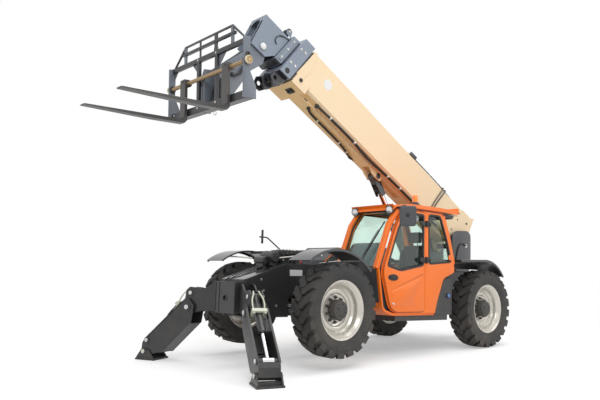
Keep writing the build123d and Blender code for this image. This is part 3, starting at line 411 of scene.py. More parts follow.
def box(bm, x, y, z):
    prism(bm, [(x[0], z[0]), (x[1], z[0]), (x[1], z[1]), (x[0], z[1])], y[0], y[1])


def turned(bm, profile, axis=(0, 1, 0), centre=(0, 0, 0), count=32, closed=True):
    """Revolve (radius, along) points about an axis through centre."""
    axis = Vector(axis).normalized()
    side = axis.orthogonal().normalized()
    other = axis.cross(side)
    rings = []
    for k in range(count):
        a = 2 * pi * k / count
        out = side * cos(a) + other * sin(a)
        rings.append([bm.verts.new(Vector(centre) + out * r + axis * t) if r > 1e-6 else None
                      for r, t in profile])
    poles = [bm.verts.new(Vector(centre) + axis * t) if r <= 1e-6 else None for r, t in profile]
    m = len(profile)
    for k in range(count):
        a, b = rings[k], rings[(k + 1) % count]
        for j in range(m if closed else m - 1):
            j2 = (j + 1) % m
            corners = [v for v in dict.fromkeys(
                (a[j] or poles[j], a[j2] or poles[j2], b[j2] or poles[j2], b[j] or poles[j]))]
            if len(corners) > 2:
                bm.faces.new(corners)


def rod(bm, start, end, radius, count=20, chamfer=0.0):
    """Closed cylinder from start to end."""
    start, end = Vector(start), Vector(end)
    length = (end - start).length
    c = chamfer
    profile = [(0, 0), (radius - c, 0), (radius, c), (radius, length - c), (radius - c, length), (0, length)]
    if not c:
        profile = [(0, 0), (radius, 0), (radius, length), (0, length)]
    turned(bm, profile, end - start, start, count, closed=False)


def bolt(bm, at, out, radius=0.014, height=0.012):
    """Hexagon head on a washer."""
    at, out = Vector(at), Vector(out).normalized()
    rod(bm, at - out * 0.002, at + out * 0.003, radius * 1.5, 16)
    rod(bm, at + out * 0.003, at + out * height, radius, 6, chamfer=height * 0.12)


def tube(name, points, radius, body, material, at=MACHINE):
    """Pipe or fixed hose through points, as a smooth curve."""
    curve = bpy.data.curves.new(name, "CURVE")
    curve.dimensions = "3D"
    spline = curve.splines.new("NURBS")
    spline.points.add(len(points) - 1)
    for target, point in zip(spline.points, points):
        target.co = (*(at @ Vector(point)), 1.0)
    spline.use_endpoint_u = True
    spline.order_u = 3
    spline.resolution_u = 10
    curve.bevel_depth = radius
    curve.bevel_resolution = 3
    curve.use_fill_caps = True
    piece = bpy.data.objects.new(name, curve)
    bpy.context.scene.collection.objects.link(piece)
    curve.materials.append(M[material])
    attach(piece, body)
    return piece


def grown(points, amount):
    """Outline moved outwards by amount; the outline runs either way round."""
    area = sum(a[0] * b[1] - b[0] * a[1] for a, b in zip(points, points[1:] + points[:1]))
    sign = 1 if area > 0 else -1
    n = len(points)
    lines = []
    for k in range(n):
        (x0, z0), (x1, z1) = points[k], points[(k + 1) % n]
        length = hypot(x1 - x0, z1 - z0)
        nx, nz = sign * (z1 - z0) / length, -sign * (x1 - x0) / length
        lines.append((nx, nz, nx * x0 + nz * z0 + amount))
    result = []
    for k in range(n):
        (a, b, c), (d, e, f) = lines[k - 1], lines[k]
        det = a * e - b * d
        result.append(((c * e - b * f) / det, (a * f - c * d) / det))
    return result


def eased(points, radius, steps=4):
    """Outline with its corners rounded."""
    result = []
    n = len(points)
    for k in range(n):
        before, here, after = Vector(points[k - 1]), Vector(points[k]), Vector(points[(k + 1) % n])
        a, b = (before - here), (after - here)
        reach = min(radius, a.length * 0.45, b.length * 0.45)
        p, q = here + a.normalized() * reach, here + b.normalized() * reach
        for j in range(steps + 1):
            t = j / steps
            result.append(tuple(p * (1 - t) ** 2 + here * 2 * t * (1 - t) + q * t * t))
    return result


def frame_strip(bm, outline, width, low, high):
    """Closed strip that follows an outline, width wide inwards, from low to high in y."""
    outer, inner = outline, grown(outline, -width)
    n = len(outer)
    v = [[bm.verts.new((p[0], h, p[1])) for p in ring] for ring, h in
         ((outer, low), (outer, high), (inner, high), (inner, low))]
    for k in range(n):
        k2 = (k + 1) % n
        for j in range(4):
            bm.faces.new((v[j][k], v[j][k2], v[(j + 1) % 4][k2], v[(j + 1) % 4][k]))


# ---------------------------------------------------------------- camera, floor and light
CAMERA_AT = (6.9393, 7.4106, 1.4585)
camera = bpy.data.objects.new("camera", bpy.data.cameras.new("camera"))
camera.data.sensor_width = 36.0
camera.data.lens = 36.0 * 635.3 / 600
camera.location = CAMERA_AT
camera.rotation_euler = (radians(90 + 5.49), 0, radians(229.05 - 90))
bpy.context.scene.collection.objects.link(camera)
bpy.context.scene.camera = camera
bpy.context.scene.view_settings.view_transform = "Standard"

floor_mesh = bpy.data.meshes.new("studio_floor")
floor_bm = bmesh.new()
bmesh.ops.create_grid(floor_bm, x_segments=1, y_segments=1, size=60)
floor_bm.to_mesh(floor_mesh)
floor_bm.free()
floor = bpy.data.objects.new("studio_floor", floor_mesh)
bpy.context.scene.collection.objects.link(floor)
floor_material = bpy.data.materials.new("pale_floor")
floor_material.use_nodes = True
floor_graph = Graph(floor_material.node_tree)
floor_shader = floor_material.node_tree.nodes["Principled BSDF"]
floor_shader.inputs["Base Color"].default_value = (0.80, 0.80, 0.80, 1)
floor_shader.inputs["Roughness"].default_value = 0.9
floor_shader.inputs["Specular IOR Level"].default_value = 0.0
floor_light = floor_graph.add("ShaderNodeEmission", {"Color": (1, 1, 1, 1), "Strength": 0.0})
floor_path = floor_graph.add("ShaderNodeLightPath")
seen = floor_graph.math("MAXIMUM", floor_path.outputs["Is Camera Ray"], floor_path.outputs["Is Glossy Ray"])
seen = floor_graph.math("MAXIMUM", seen, floor_path.outputs["Is Transmission Ray"])
floor_material.node_tree.links.new(floor_graph.math("MULTIPLY", seen, 0.36), floor_light.inputs["Strength"])
floor_sum = floor_graph.add("ShaderNodeAddShader", {0: floor_shader.outputs[0], 1: floor_light.outputs[0]})
# away from the machine the floor fades into a plain white backdrop
floor_white = floor_graph.add("ShaderNodeEmission", {"Color": (1, 1, 1, 1), "Strength": seen})
floor_where = floor_graph.add("ShaderNodeNewGeometry").outputs["Position"]
floor_reach = floor_graph.add("ShaderNodeVectorMath", {0: floor_where}, operation="LENGTH").outputs["Value"]
fade = floor_graph.math("MULTIPLY", floor_graph.ramp(floor_reach, 3.6, 6.5), seen)
floor_blend = floor_graph.add("ShaderNodeMixShader", {0: fade, 1: floor_sum.outputs[0], 2: floor_white.outputs[0]})
floor_material.node_tree.links.new(floor_blend.outputs[0],
                                   floor_material.node_tree.nodes["Material Output"].inputs["Surface"])
floor_mesh.materials.append(floor_material)

world = bpy.data.worlds.new("studio_world")
bpy.context.scene.world = world
world.use_nodes = True
sky = Graph(world.node_tree)
path = sky.add("ShaderNodeLightPath")
backdrop = sky.math("MAXIMUM", path.outputs["Is Camera Ray"], path.outputs["Is Transmission Ray"])
backdrop = sky.math("MAXIMUM", backdrop, path.outputs["Is Glossy Ray"])
strength = sky.math("ADD", sky.math("MULTIPLY", backdrop, 0.45), 0.55)
world_shader = world.node_tree.nodes["Background"]
world_shader.inputs["Color"].default_value = (1, 1, 1, 1)
world.node_tree.links.new(strength, world_shader.inputs["Strength"])


def lamp(name, where, target, power, size):
    light = bpy.data.lights.new(name, "AREA")
    light.energy = power
    light.size = size
    light.shape = "SQUARE"
    holder = bpy.data.objects.new(name, light)
    holder.location = where
    holder.rotation_euler = (Vector(target) - Vector(where)).to_track_quat("-Z", "Y").to_euler()
    bpy.context.scene.collection.objects.link(holder)


lamp("key_softbox", (7.0, 9.0, 9.5), (0.3, 0.3, 1.6), 560, 6.0)
lamp("top_softbox", (-1.5, 1.0, 11.0), (0.0, 0.3, 1.5), 420, 8.0)
lamp("side_softbox", (-6.5, 8.0, 5.0), (-1.0, 0.5, 1.5), 160, 5.0)

# ---------------------------------------------------------------- CAD nodes that keep their shape
for node, material, slot, width in (
        ("chassis_frame", "frame_black", "frame_paint", 0.004), ("counterweight", "frame_black", "frame_paint", 0.02),
        ("outrigger_head", "frame_black", "frame_paint", 0.006), ("front_axle", "frame_black", "frame_paint", 0.008),
        ("rear_axle", "frame_black", "frame_paint", 0.008), ("engine_bay", "frame_black", "frame_paint", 0.008),
        ("engine_block", "engine_iron", "engine_iron", 0.02), ("engine_hood", "cab_orange", "cab_paint", 0.03),
        ("cab_step", "frame_black", "frame_paint", 0.012), ("valve_block", "frame_black", "frame_paint", 0.01),
        ("front_fenders", "fender_black", "fender_plastic", 0.004),
        ("rear_fenders", "fender_black", "fender_plastic", 0.004),
        ("boom_base", "boom_cream", "boom_paint", 0.006), ("boom_second", "head_grey", "head_paint", 0.006),
        ("boom_third", "head_grey", "head_paint", 0.006), ("boom_fly", "head_grey", "head_paint", 0.006),
        ("fork_shaft", "shaft_tan", "shaft_paint", 0.003), ("lift_clevis", "barrel_black", "cylinder_paint", 0.003),
        ("tail_lamps", "red_lens", "tail_lens", 0.006),
        ("lift_barrel", "barrel_black", "cylinder_paint", 0.004), ("lift_rod", "chrome_rod", "rod_chrome", 0.004),
        ("tilt_barrel", "barrel_black", "cylinder_paint", 0.004), ("tilt_rod", "chrome_rod", "rod_chrome", 0.004)):
    dress(node, material, width)
for side, s in SIDES:
    dress(f"fork_{side}", "fork_steel", 0.012)
    dress(f"outrigger_leg_{side}", "frame_black", 0.004)
    dress(f"outrigger_foot_{side}", "frame_black", 0.004)
    dress(f"outrigger_barrel_{side}", "barrel_black", 0.003)
    dress(f"outrigger_rod_{side}", "chrome_rod", 0.003)
    for end in ("front", "rear"):
        dress(f"{end}_knuckle_{side}", "frame_black", 0.006)
dress("cab_glass", "cab_glass")
dress("door_glass", "cab_glass")

# ---------------------------------------------------------------- tyres
TREAD_R = 0.612
LUGS = 21
# one lug seen from above: distance round the tread and across it, shoulder first
LUG = [(0.000, 0.193), (0.122, 0.193), (0.137, 0.150), (0.175, 0.098), (0.222, 0.062), (0.234, 0.010),
       (0.206, -0.014), (0.150, -0.010), (0.116, 0.034), (0.066, 0.078), (0.024, 0.130)]


def lug_top(y):
    return TYRE_R - 0.020 * max(0.0, (abs(y) - 0.10) / 0.093) ** 2


def lug_root(y):
    return (0.556, 0.187) if abs(y) > 0.19 else (0.606 - 0.012 * (abs(y) / 0.19) ** 2, abs(y))


def add_lug(bm, turn, side):
    top, root = [], []
    middle = (sum(p[0] for p in LUG) / len(LUG), sum(p[1] for p in LUG) / len(LUG))
    for u, y in LUG:
        a = turn + u / TYRE_R
        r = lug_top(y)
        top.append(bm.verts.new((r * sin(a), side * min(y, 0.1895), r * cos(a))))
        out_u, out_y = u + (u - middle[0]) * 0.10, y + (y - middle[1]) * 0.10
        a = turn + out_u / TYRE_R
        r, across = lug_root(y)
        across = across if abs(y) > 0.19 else abs(out_y)
        root.append(bm.verts.new((r * sin(a), side * across * (1 if y >= 0 else -1), r * cos(a))))
    n = len(LUG)
    bm.faces.new(top)
    for k in range(n):
        bm.faces.new((top[k], top[(k + 1) % n], root[(k + 1) % n], root[k]))


def tyre(end, side):
    bm = bmesh.new()
    half = [(0.372, 0.135), (0.392, 0.150), (0.404, 0.160), (0.412, 0.166), (0.424, 0.165), (0.432, 0.1735),
            (0.440, 0.1735), (0.447, 0.178), (0.480, 0.1855), (0.515, 0.1885), (0.530, 0.1900), (0.536, 0.1865),
            (0.560, 0.1850), (0.583, 0.178), (0.597, 0.163), (0.605, 0.135), (TREAD_R - 0.004, 0.080),
            (TREAD_R, 0.0)]
    profile = half + [(r, -y) for r, y in half[-2::-1]]
    turned(bm, profile, (0, 1, 0), (0, 0, 0), 96, closed=True)
    for k in range(LUGS):
        turn = 2 * pi * k / LUGS
        add_lug(bm, turn, 1)
        add_lug(bm, turn + pi / LUGS, -1)
    place(f"{end}_tyre_{side}_tread", bm, f"{end}_wheel_{side}", "tyre_rubber",
          at=wheel_at(end, side), round_off=0.005, angle=32, replaces=(f"{end}_tyre_{side}",))


# ---------------------------------------------------------------- rims and hubs
RIM = [(0.128, -0.012), (0.128, 0.006), (0.214, 0.006), (0.222, 0.012), (0.228, 0.026), (0.240, 0.032),
       (0.284, 0.034), (0.290, 0.029), (0.294, 0.022), (0.300, 0.024), (0.306, 0.036), (0.318, 0.044),
       (0.328, 0.058), (0.331, 0.092), (0.338, 0.104), (0.343, 0.118), (0.352, 0.124), (0.359, 0.130), (0.366, 0.144),
       (0.380, 0.151), (0.389, 0.160), (0.398, 0.1650), (0.404, 0.1640), (0.406, 0.158), (0.398, 0.150),
       (0.388, 0.142), (0.374, 0.132), (0.372, 0.10), (0.372, -0.132), (0.388, -0.142), (0.404, -0.155),
       (0.404, -0.1640), (0.392, -0.1650), (0.378, -0.152), (0.360, -0.138), (0.358, -0.060), (0.350, 0.020),
       (0.318, 0.016), (0.284, 0.008), (0.240, 0.008), (0.214, -0.012)]
HUB = [(0.0, 0.133), (0.110, 0.133), (0.124, 0.128), (0.130, 0.118), (0.130, 0.088), (0.136, 0.084), (0.136, 0.060),
       (0.138, 0.056), (0.138, 0.004), (0.124, -0.006), (0.124, -0.085), (0.0, -0.085)]
STUDS, STUD_CIRCLE = 10, 0.168


def rim(end, side):
    at, body, name = wheel_at(end, side), f"{end}_wheel_{side}", f"{end}_rim_{side}"
    bm = bmesh.new()
    turned(bm, RIM, (0, 1, 0), (0, 0, 0), 96)
    rod(bm, (0.336, 0.070, 0.0), (0.318, 0.118, 0.0), 0.007, 10)
    place(name + "_dish", bm, body, "rim_silver", at=at, angle=50, replaces=(name,))
    bm = bmesh.new()
    turned(bm, HUB, (0, 1, 0), (0, 0, 0), 48, closed=False)
    for k in range(8):
        a = 2 * pi * (k + 0.5) / 8
        bolt(bm, (0.086 * sin(a), 0.132, 0.086 * cos(a)), (0, 1, 0), 0.009, 0.009)
    bolt(bm, (0.040, 0.132, 0.020), (0, 1, 0), 0.016, 0.012)
    place(name + "_hub", bm, body, "hub_black", at=at, round_off=0.002)
    bm = bmesh.new()
    for k in range(STUDS):
        a = 2 * pi * k / STUDS
        x, z = STUD_CIRCLE * sin(a), STUD_CIRCLE * cos(a)
        rod(bm, (x, 0.004, z), (x, 0.012, z), 0.024, 16, 0.002)
        rod(bm, (x, 0.011, z), (x, 0.034, z), 0.018, 6, 0.002)
        rod(bm, (x, 0.032, z), (x, 0.052, z), 0.010, 10, 0.002)
    place(name + "_nuts", bm, body, "dark_steel", at=at)


for end in ("front", "rear"):
    for side, s in SIDES:
        tyre(end, side)
        rim(end, side)

# ---------------------------------------------------------------- cab
def plate(name, outlines, low, high, body, material, slot, at=MACHINE, soft=0.004, replaces=(), axis="Y"):
    """Plate with holes and rounded edges: the first outline is its edge, the others are cut out."""
    curve = bpy.data.curves.new(name, "CURVE")
    curve.dimensions = "2D"
    curve.fill_mode = "BOTH"
    for k, outline in enumerate(outlines):
        spline = curve.splines.new("POLY")
        spline.points.add(len(outline) - 1)
        spline.use_cyclic_u = True
        for target, point in zip(spline.points, grown(outline, -soft if k == 0 else soft)):
            target.co = (point[0], point[1], 0, 1)
    curve.extrude = max((high - low) / 2 - soft, 0.0)
    curve.bevel_depth = soft
    curve.bevel_resolution = 2
    flat = bpy.data.objects.new(name + "_outline", curve)
    bpy.context.scene.collection.objects.link(flat)
    bpy.context.view_layer.update()
    mesh = bpy.data.meshes.new_from_object(flat)
    bpy.data.objects.remove(flat)
    bpy.data.curves.remove(curve)
    middle = (low + high) / 2
    turn = {"Y": Matrix(((1, 0, 0, 0), (0, 0, -1, middle), (0, 1, 0, 0), (0, 0, 0, 1))),
            "X": Matrix(((0, 0, 1, middle), (1, 0, 0, 0), (0, 1, 0, 0), (0, 0, 0, 1))),
            "Z": Matrix.Translation((0, 0, middle))}[axis]
    bm = bmesh.new()
    bm.from_mesh(mesh)
    bpy.data.meshes.remove(mesh)
    bmesh.ops.transform(bm, matrix=turn, verts=bm.verts)
    bmesh.ops.remove_doubles(bm, verts=bm.verts, dist=1e-5)
    return place(name, bm, body, material, at=at, replaces=replaces, angle=40)


def band(bm, line, thick, low, high):
    """Bent sheet that follows an open line of (x, z) points, thick to its right-hand side."""
    inner = []
    for k, point in enumerate(line):
        here = Vector(point)
        normals = []
        if k > 0:
            d = here - Vector(line[k - 1])
            normals.append(Vector((d.y, -d.x)).normalized())
        if k < len(line) - 1:
            d = Vector(line[k + 1]) - here
            normals.append(Vector((d.y, -d.x)).normalized())
        mean = sum(normals, Vector((0, 0))).normalized()
        inner.append(tuple(here + mean * thick / max(mean.dot(normals[0]), 0.3)))
    prism(bm, list(line) + inner[::-1], low, high)


def pipe(bm, points, radius, count=12, closed=False):
    """Round bar through points with mitred corners."""
    points = [Vector(p) for p in points]
    n = len(points)
    rings = []
    for k, here in enumerate(points):
        before = points[k - 1] if (k or closed) else None
        after = points[(k + 1) % n] if (k < n - 1 or closed) else None
        a = (here - before).normalized() if before is not None else None
        b = (after - here).normalized() if after is not None else None
        tangent = ((a or b) + (b or a)).normalized()
        if k == 0:
            side = tangent.orthogonal().normalized()
        side = (side - tangent * side.dot(tangent)).normalized()
        other = tangent.cross(side)
        rings.append([bm.verts.new(here + (side * cos(2 * pi * j / count) + other * sin(2 * pi * j / count)) * radius)
                      for j in range(count)])
    for k in range(n if closed else n - 1):
        a, b = rings[k], rings[(k + 1) % n]
        for j in range(count):
            bm.faces.new((a[j], a[(j + 1) % count], b[(j + 1) % count], b[j]))
    if not closed:
        bm.faces.new(rings[0][::-1])
        bm.faces.new(rings[-1])


CAB_IN, CAB_OUT, WALL = 0.310, 1.180, 0.045
CAB_SIDE = [(1.371, -0.095), (2.364, -0.095), (2.540, -0.045), (2.604, 0.020), (2.697, 0.580), (2.435, 1.242),
            (2.207, 1.530), (1.290, 1.530), (1.149, 1.484), (1.000, 1.140), (0.866, 0.713), (0.848, 0.586),
            (1.141, 0.480), (1.310, 0.106)]
DOOR = [(1.632, -0.040), (2.300, -0.040), (2.400, 0.020), (2.440, 0.090), (2.578, 0.505), (2.566, 0.620),
        (2.330, 1.210), (2.160, 1.500), (1.632, 1.500)]
DOOR_WINDOW = [(1.660, 0.665), (2.200, 0.565), (2.512, 0.628), (2.285, 1.190), (2.125, 1.465), (1.660, 1.465)]
REAR_WINDOW = [(1.545, 1.480), (1.535, 0.690), (0.935, 0.745), (1.060, 1.105), (1.235, 1.480)]
RIGHT_WINDOW = [(1.090, 0.750), (1.230, 1.470), (2.130, 1.470), (2.350, 1.190), (2.560, 0.640), (1.090, 0.690)]

cab_edge = eased(CAB_SIDE, 0.05)
door_edge = eased(DOOR, 0.07)
plate("cab_wall_left", [cab_edge, eased(grown(DOOR, 0.007), 0.075), eased(REAR_WINDOW, 0.07)],
      CAB_OUT - WALL, CAB_OUT, "chassis", "cab_orange", "cab_paint", soft=0.012, replaces=("cab_shell",))
plate("cab_wall_right", [cab_edge, eased(RIGHT_WINDOW, 0.05)], CAB_IN, CAB_IN + WALL, "chassis", "cab_orange",
      "cab_paint", soft=0.012)
bm = bmesh.new()
front_line = [(2.697, 0.580), (2.435, 1.242), (2.207, 1.530)]
rear_line = [(1.149, 1.484), (1.000, 1.140), (0.866, 0.713)]
body_line = [(0.866, 0.713), (0.848, 0.586), (1.141, 0.480), (1.310, 0.106), (1.371, -0.095), (2.364, -0.095),
             (2.540, -0.045), (2.604, 0.020), (2.697, 0.580)]
band(bm, body_line[::-1], WALL, CAB_IN + 0.01, CAB_OUT - 0.01)
band(bm, [(2.207, 1.530), (1.290, 1.530), (1.149, 1.484)], WALL, CAB_IN + 0.01, CAB_OUT - 0.01)
for low, high in ((CAB_IN + 0.008, CAB_IN + 0.085), (CAB_OUT - 0.085, CAB_OUT - 0.008)):
    band(bm, front_line, WALL, low, high)
    band(bm, rear_line, WALL, low, high)
place("cab_pillars_and_floor", bm, "chassis", "cab_orange", round_off=0.014)

plate("cab_door_panel", [door_edge, eased(DOOR_WINDOW, 0.05)], CAB_OUT - 0.042, CAB_OUT + 0.004, "door",
      "cab_orange", "cab_paint", soft=0.010, replaces=("cab_door",))
# pressed creases in the door's lower panel
bm = bmesh.new()
for outline, rise in (([(2.470, 0.310), (1.660, 0.560), (1.660, 0.520), (2.440, 0.265)], 0.006),
                      ([(2.430, 0.262), (1.735, 0.482), (1.930, 0.050), (2.375, 0.050)], 0.013)):
    base, inset = outline, grown(outline, -0.024)
    low_ring = [bm.verts.new((p[0], CAB_OUT + 0.0035, p[1])) for p in base]
    high_ring = [bm.verts.new((p[0], CAB_OUT + 0.0035 + rise, p[1])) for p in inset]
    bm.faces.new(high_ring)
    for k in range(4):
        bm.faces.new((low_ring[k], low_ring[(k + 1) % 4], high_ring[(k + 1) % 4], high_ring[k]))
    bm.faces.new(low_ring[::-1])
place("cab_door_pressing", bm, "door", "cab_orange", round_off=0.003)
plate("cab_door_reflector", [eased([(2.345, 0.066), (2.395, 0.082), (2.405, 0.104), (2.355, 0.090)], 0.012)],
      CAB_OUT + 0.003, CAB_OUT + 0.020, "door", "label_white", "lamp_plastic", soft=0.002)
# seals round the panes
bm = bmesh.new()
frame_strip(bm, eased(grown(DOOR_WINDOW, 0.004), 0.05), 0.028, CAB_OUT - 0.020, CAB_OUT + 0.008)
place("cab_door_window_seal", bm, "door", "gasket", round_off=0.003)
bm = bmesh.new()
frame_strip(bm, eased(grown(REAR_WINDOW, 0.004), 0.07), 0.026, CAB_OUT - 0.020, CAB_OUT + 0.004)
frame_strip(bm, eased(grown(RIGHT_WINDOW, 0.004), 0.05), 0.026, CAB_IN - 0.004, CAB_IN + 0.020)
frame_strip(bm, eased(grown(DOOR, 0.006), 0.075), 0.010, CAB_OUT - 0.040, CAB_OUT - 0.006)
place("cab_window_seals", bm, "chassis", "gasket", round_off=0.003)
bm = bmesh.new()
lower, upper = (2.672, 0.612), (2.236, 1.486)
knee = (2.420, 1.240)
y0, y1 = CAB_IN + 0.080, CAB_OUT - 0.080
pipe(bm, [(lower[0], y0, lower[1]), (knee[0], y0, knee[1]), (upper[0], y0, upper[1]),
          (upper[0], y1, upper[1]), (knee[0], y1, knee[1]), (lower[0], y1, lower[1])], 0.014, 10, True)
pipe(bm, [(0.885, y0, 0.730), (1.012, y0, 1.135), (1.142, y0, 1.440), (1.142, y1, 1.440), (1.012, y1, 1.135),
          (0.885, y1, 0.730)], 0.014, 10, True)
place("cab_screen_seals", bm, "chassis", "gasket")
# dark panel under the windscreen, and a dark grey sheet over the hood's sloping front that is painted shade
bm = bmesh.new()
band(bm, [(2.6185, 0.100), (2.6985, 0.582)], 0.006, CAB_IN + 0.050, CAB_OUT - 0.045)
place("cab_front_panel", bm, "chassis", "trim_grey", round_off=0.002)
bm = bmesh.new()
band(bm, [(2.351, 0.340), (2.351, 0.7205), (2.024, 0.9500)], 0.006, -1.136, -0.330)
place("hood_front_painted_shade", bm, "hood", "trim_grey", round_off=0.002)
# painted shade: a thin dark grey sheet over the hood's orange side that faces the boom
plate("hood_inner_painted_shade", [[(2.345, 0.345), (2.345, 0.716), (2.018, 0.941), (1.780, 0.941), (1.780, 0.345)]], -0.3155,
      -0.3100, "hood", "trim_grey", "trim_plastic", soft=0.002)

# roof with its visor and rear spoiler
ROOF = [(0.736, 1.598), (0.786, 1.520), (1.290, 1.531), (2.207, 1.531), (2.250, 1.524), (2.350, 1.504),
        (2.380, 1.516), (2.215, 1.585), (1.960, 1.612), (1.300, 1.622), (0.860, 1.615)]
plate("cab_roof_skin", [eased(ROOF, 0.02)], CAB_IN - 0.008, CAB_OUT + 0.008, "chassis", "cab_orange", "cab_paint",
      soft=0.014, replaces=("cab_roof",))
plate("cab_roof_vent", [[(0.800, 1.520), (0.845, 1.462), (1.068, 1.480), (1.120, 1.524)]], CAB_IN + 0.05,
      CAB_OUT - 0.05, "chassis", "trim_grey", "trim_plastic", soft=0.006)
plate("cab_roof_rain_edge", [[(0.800, 1.513), (0.800, 1.521), (2.215, 1.532), (2.235, 1.500), (2.222, 1.496),
                              (2.200, 1.522)]], CAB_OUT - 0.002, CAB_OUT + 0.014, "chassis", "gasket",
      "trim_plastic", soft=0.003)

# roof lamps
for k, (y, z) in enumerate(((1.100, 1.478), (0.388, 1.478))):
    bm = bmesh.new()
    turned(bm, [(0.0, -0.075), (0.050, -0.070), (0.062, -0.035), (0.066, 0.014), (0.060, 0.022), (0.054, 0.016),
                (0.0, 0.014)], (0.96, 0.12, -0.22), (2.384, y, z), 28, closed=False)
    place(f"roof_lamp_housing_{k}", bm, "chassis", "trim_grey", angle=50,
          replaces=("work_lamps",))
    bm = bmesh.new()
    turned(bm, [(0.0, 0.030), (0.020, 0.0295), (0.040, 0.026), (0.054, 0.016), (0.0, 0.010)], (0.96, 0.12, -0.22),
           (2.384, y, z), 28, closed=False)
    place(f"roof_lamp_lens_{k}", bm, "chassis", "lamp_glass", angle=50)

# beacon
bm = bmesh.new()
turned(bm, [(0.0, 1.606), (0.066, 1.606), (0.066, 1.622), (0.052, 1.630), (0.050, 1.652), (0.0, 1.652)], (0, 0, 1),
       (1.77, 1.09, 0), 28, closed=False)
place("beacon_foot", bm, "chassis", "trim_grey", replaces=("beacon",), angle=50)
bm = bmesh.new()
dome = [(0.0, 1.648), (0.044, 1.648)]
for k in range(7):
    dome += [(0.0475, 1.655 + k * 0.014), (0.0455, 1.662 + k * 0.014)]
dome += [(0.042, 1.756), (0.028, 1.768), (0.0, 1.772)]
turned(bm, dome, (0, 0, 1), (1.77, 1.09, 0), 32, closed=False)
place("beacon_dome", bm, "chassis", "amber", angle=60)

# door handle and hinges
bm = bmesh.new()
oval = [(2.378 + 0.112 * cos(2 * pi * k / 28), 0.466 + 0.048 * sin(2 * pi * k / 28)) for k in range(28)]
prism(bm, oval, CAB_OUT + 0.001, CAB_OUT + 0.010)
prism(bm, eased([(2.300, 0.445), (2.455, 0.455), (2.450, 0.485), (2.305, 0.480)], 0.012),
      CAB_OUT + 0.008, CAB_OUT + 0.026)
rod(bm, (2.320, CAB_OUT, 0.462), (2.320, CAB_OUT + 0.032, 0.462), 0.016, 16, 0.003)
place("cab_door_handle", bm, "door", "gasket", round_off=0.003)
for k, z in enumerate((1.318, 0.752)):
    plate(f"cab_door_hinge_leaf_{k}", [eased([(1.612, z - 0.036), (1.735, z - 0.036), (1.768, z - 0.010),
                                              (1.768, z + 0.020), (1.735, z + 0.038), (1.612, z + 0.038)], 0.02)],
          CAB_OUT + 0.004, CAB_OUT + 0.018, "door", "gasket", "trim_plastic")
    bm = bmesh.new()
    rod(bm, (1.612, 1.200, z - 0.050), (1.612, 1.200, z + 0.052), 0.019, 20, 0.004)
    box(bm, (1.500, 1.606), (CAB_OUT + 0.001, CAB_OUT + 0.016), (z - 0.034, z + 0.034))
    for x, dz in ((1.530, 0.0), (1.570, 0.0)):
        bolt(bm, (x, CAB_OUT + 0.016, z + dz), (0, 1, 0), 0.011, 0.010)
    place(f"cab_door_hinge_{k}", bm, "chassis", "gasket", round_off=0.003)
    bm = bmesh.new()
    for x in (1.680, 1.735):
        bolt(bm, (x, CAB_OUT + 0.018, z), (0, 1, 0), 0.011, 0.010)
    place(f"cab_door_hinge_bolts_{k}", bm, "door", "dark_steel")

# round hatch latch at the back window's lower corner
bm = bmesh.new()
turned(bm, [(0.0, 0.0), (0.044, 0.0), (0.044, 0.010), (0.032, 0.014), (0.030, 0.010), (0.0, 0.008)], (0, 1, 0),
       (0.988, CAB_OUT, 0.822), 28, closed=False)
place("rear_window_latch", bm, "chassis", "cab_orange", angle=40)

# wiper
bm = bmesh.new()
pipe(bm, [(2.700, 0.790, 0.640), (2.640, 0.80, 0.770), (2.470, 0.96, 1.180)], 0.006, 8)
pipe(bm, [(2.700, 0.830, 0.640), (2.650, 0.84, 0.760), (2.480, 0.99, 1.150)], 0.006, 8)
pipe(bm, [(2.645, 0.845, 0.785), (2.425, 1.045, 1.300)], 0.010, 8)
rod(bm, (2.670, 0.81, 0.640), (2.725, 0.81, 0.655), 0.022, 16, 0.004)
place("windscreen_wiper", bm, "chassis", "gasket")

# inside: lining, seat, column, console
bm = bmesh.new()
band(bm, [(2.195, 1.480), (1.300, 1.480), (1.190, 1.450)], 0.018, CAB_IN + 0.05, CAB_OUT - 0.05)
band(bm, [(2.645, 0.560), (2.556, 0.030), (2.520, -0.005), (2.352, -0.048), (1.390, -0.048), (1.335, 0.125),
          (1.165, 0.520), (0.905, 0.610), (0.905, 0.700)], 0.012, CAB_IN + 0.048, CAB_OUT - 0.048)
place("cab_lining", bm, "chassis", "trim_grey", round_off=0.006)
plate("cab_door_lining", [eased(grown([(1.632, -0.040), (2.300, -0.040), (2.400, 0.020), (2.440, 0.090),
                                       (2.578, 0.505), (2.540, 0.600), (2.200, 0.540),
                                       (1.640, 0.630)], -0.03), 0.05)],
      CAB_OUT - 0.060, CAB_OUT - 0.043, "door", "trim_grey", "trim_plastic")
plate("cab_side_lining", [eased([(1.585, -0.020), (1.585, 0.660), (0.925, 0.700), (0.925, 0.625), (1.185, 0.525),
                                 (1.345, 0.130), (1.400, -0.035)], 0.03)],
      CAB_OUT - 0.058, CAB_OUT - 0.046, "chassis", "trim_grey", "trim_plastic")
plate("cab_right_lining", [eased([(2.500, 0.000), (2.600, 0.560), (2.520, 0.620), (1.120, 0.670), (0.950, 0.690),
                                  (0.925, 0.625), (1.185, 0.525), (1.345, 0.130), (1.400, -0.035),
                                  (2.350, -0.035)], 0.03)],
      CAB_IN + 0.046, CAB_IN + 0.058, "chassis", "trim_grey", "trim_plastic")


def cushion(name, outline, low, high, puff, body="chassis", material="seat_cloth", replaces=()):
    """Upholstered pad: a prism with a crowned surface."""
    bm = bmesh.new()
    prism(bm, eased(outline, 0.05, 4), low, high)
    piece = place(name, bm, body, material, replaces=replaces, angle=180)
    bevel = piece.modifiers.new("soft_edges", "BEVEL")
    bevel.width = puff
    bevel.segments = 4
    bevel.limit_method = "ANGLE"
    bevel.angle_limit = radians(50)
    return piece


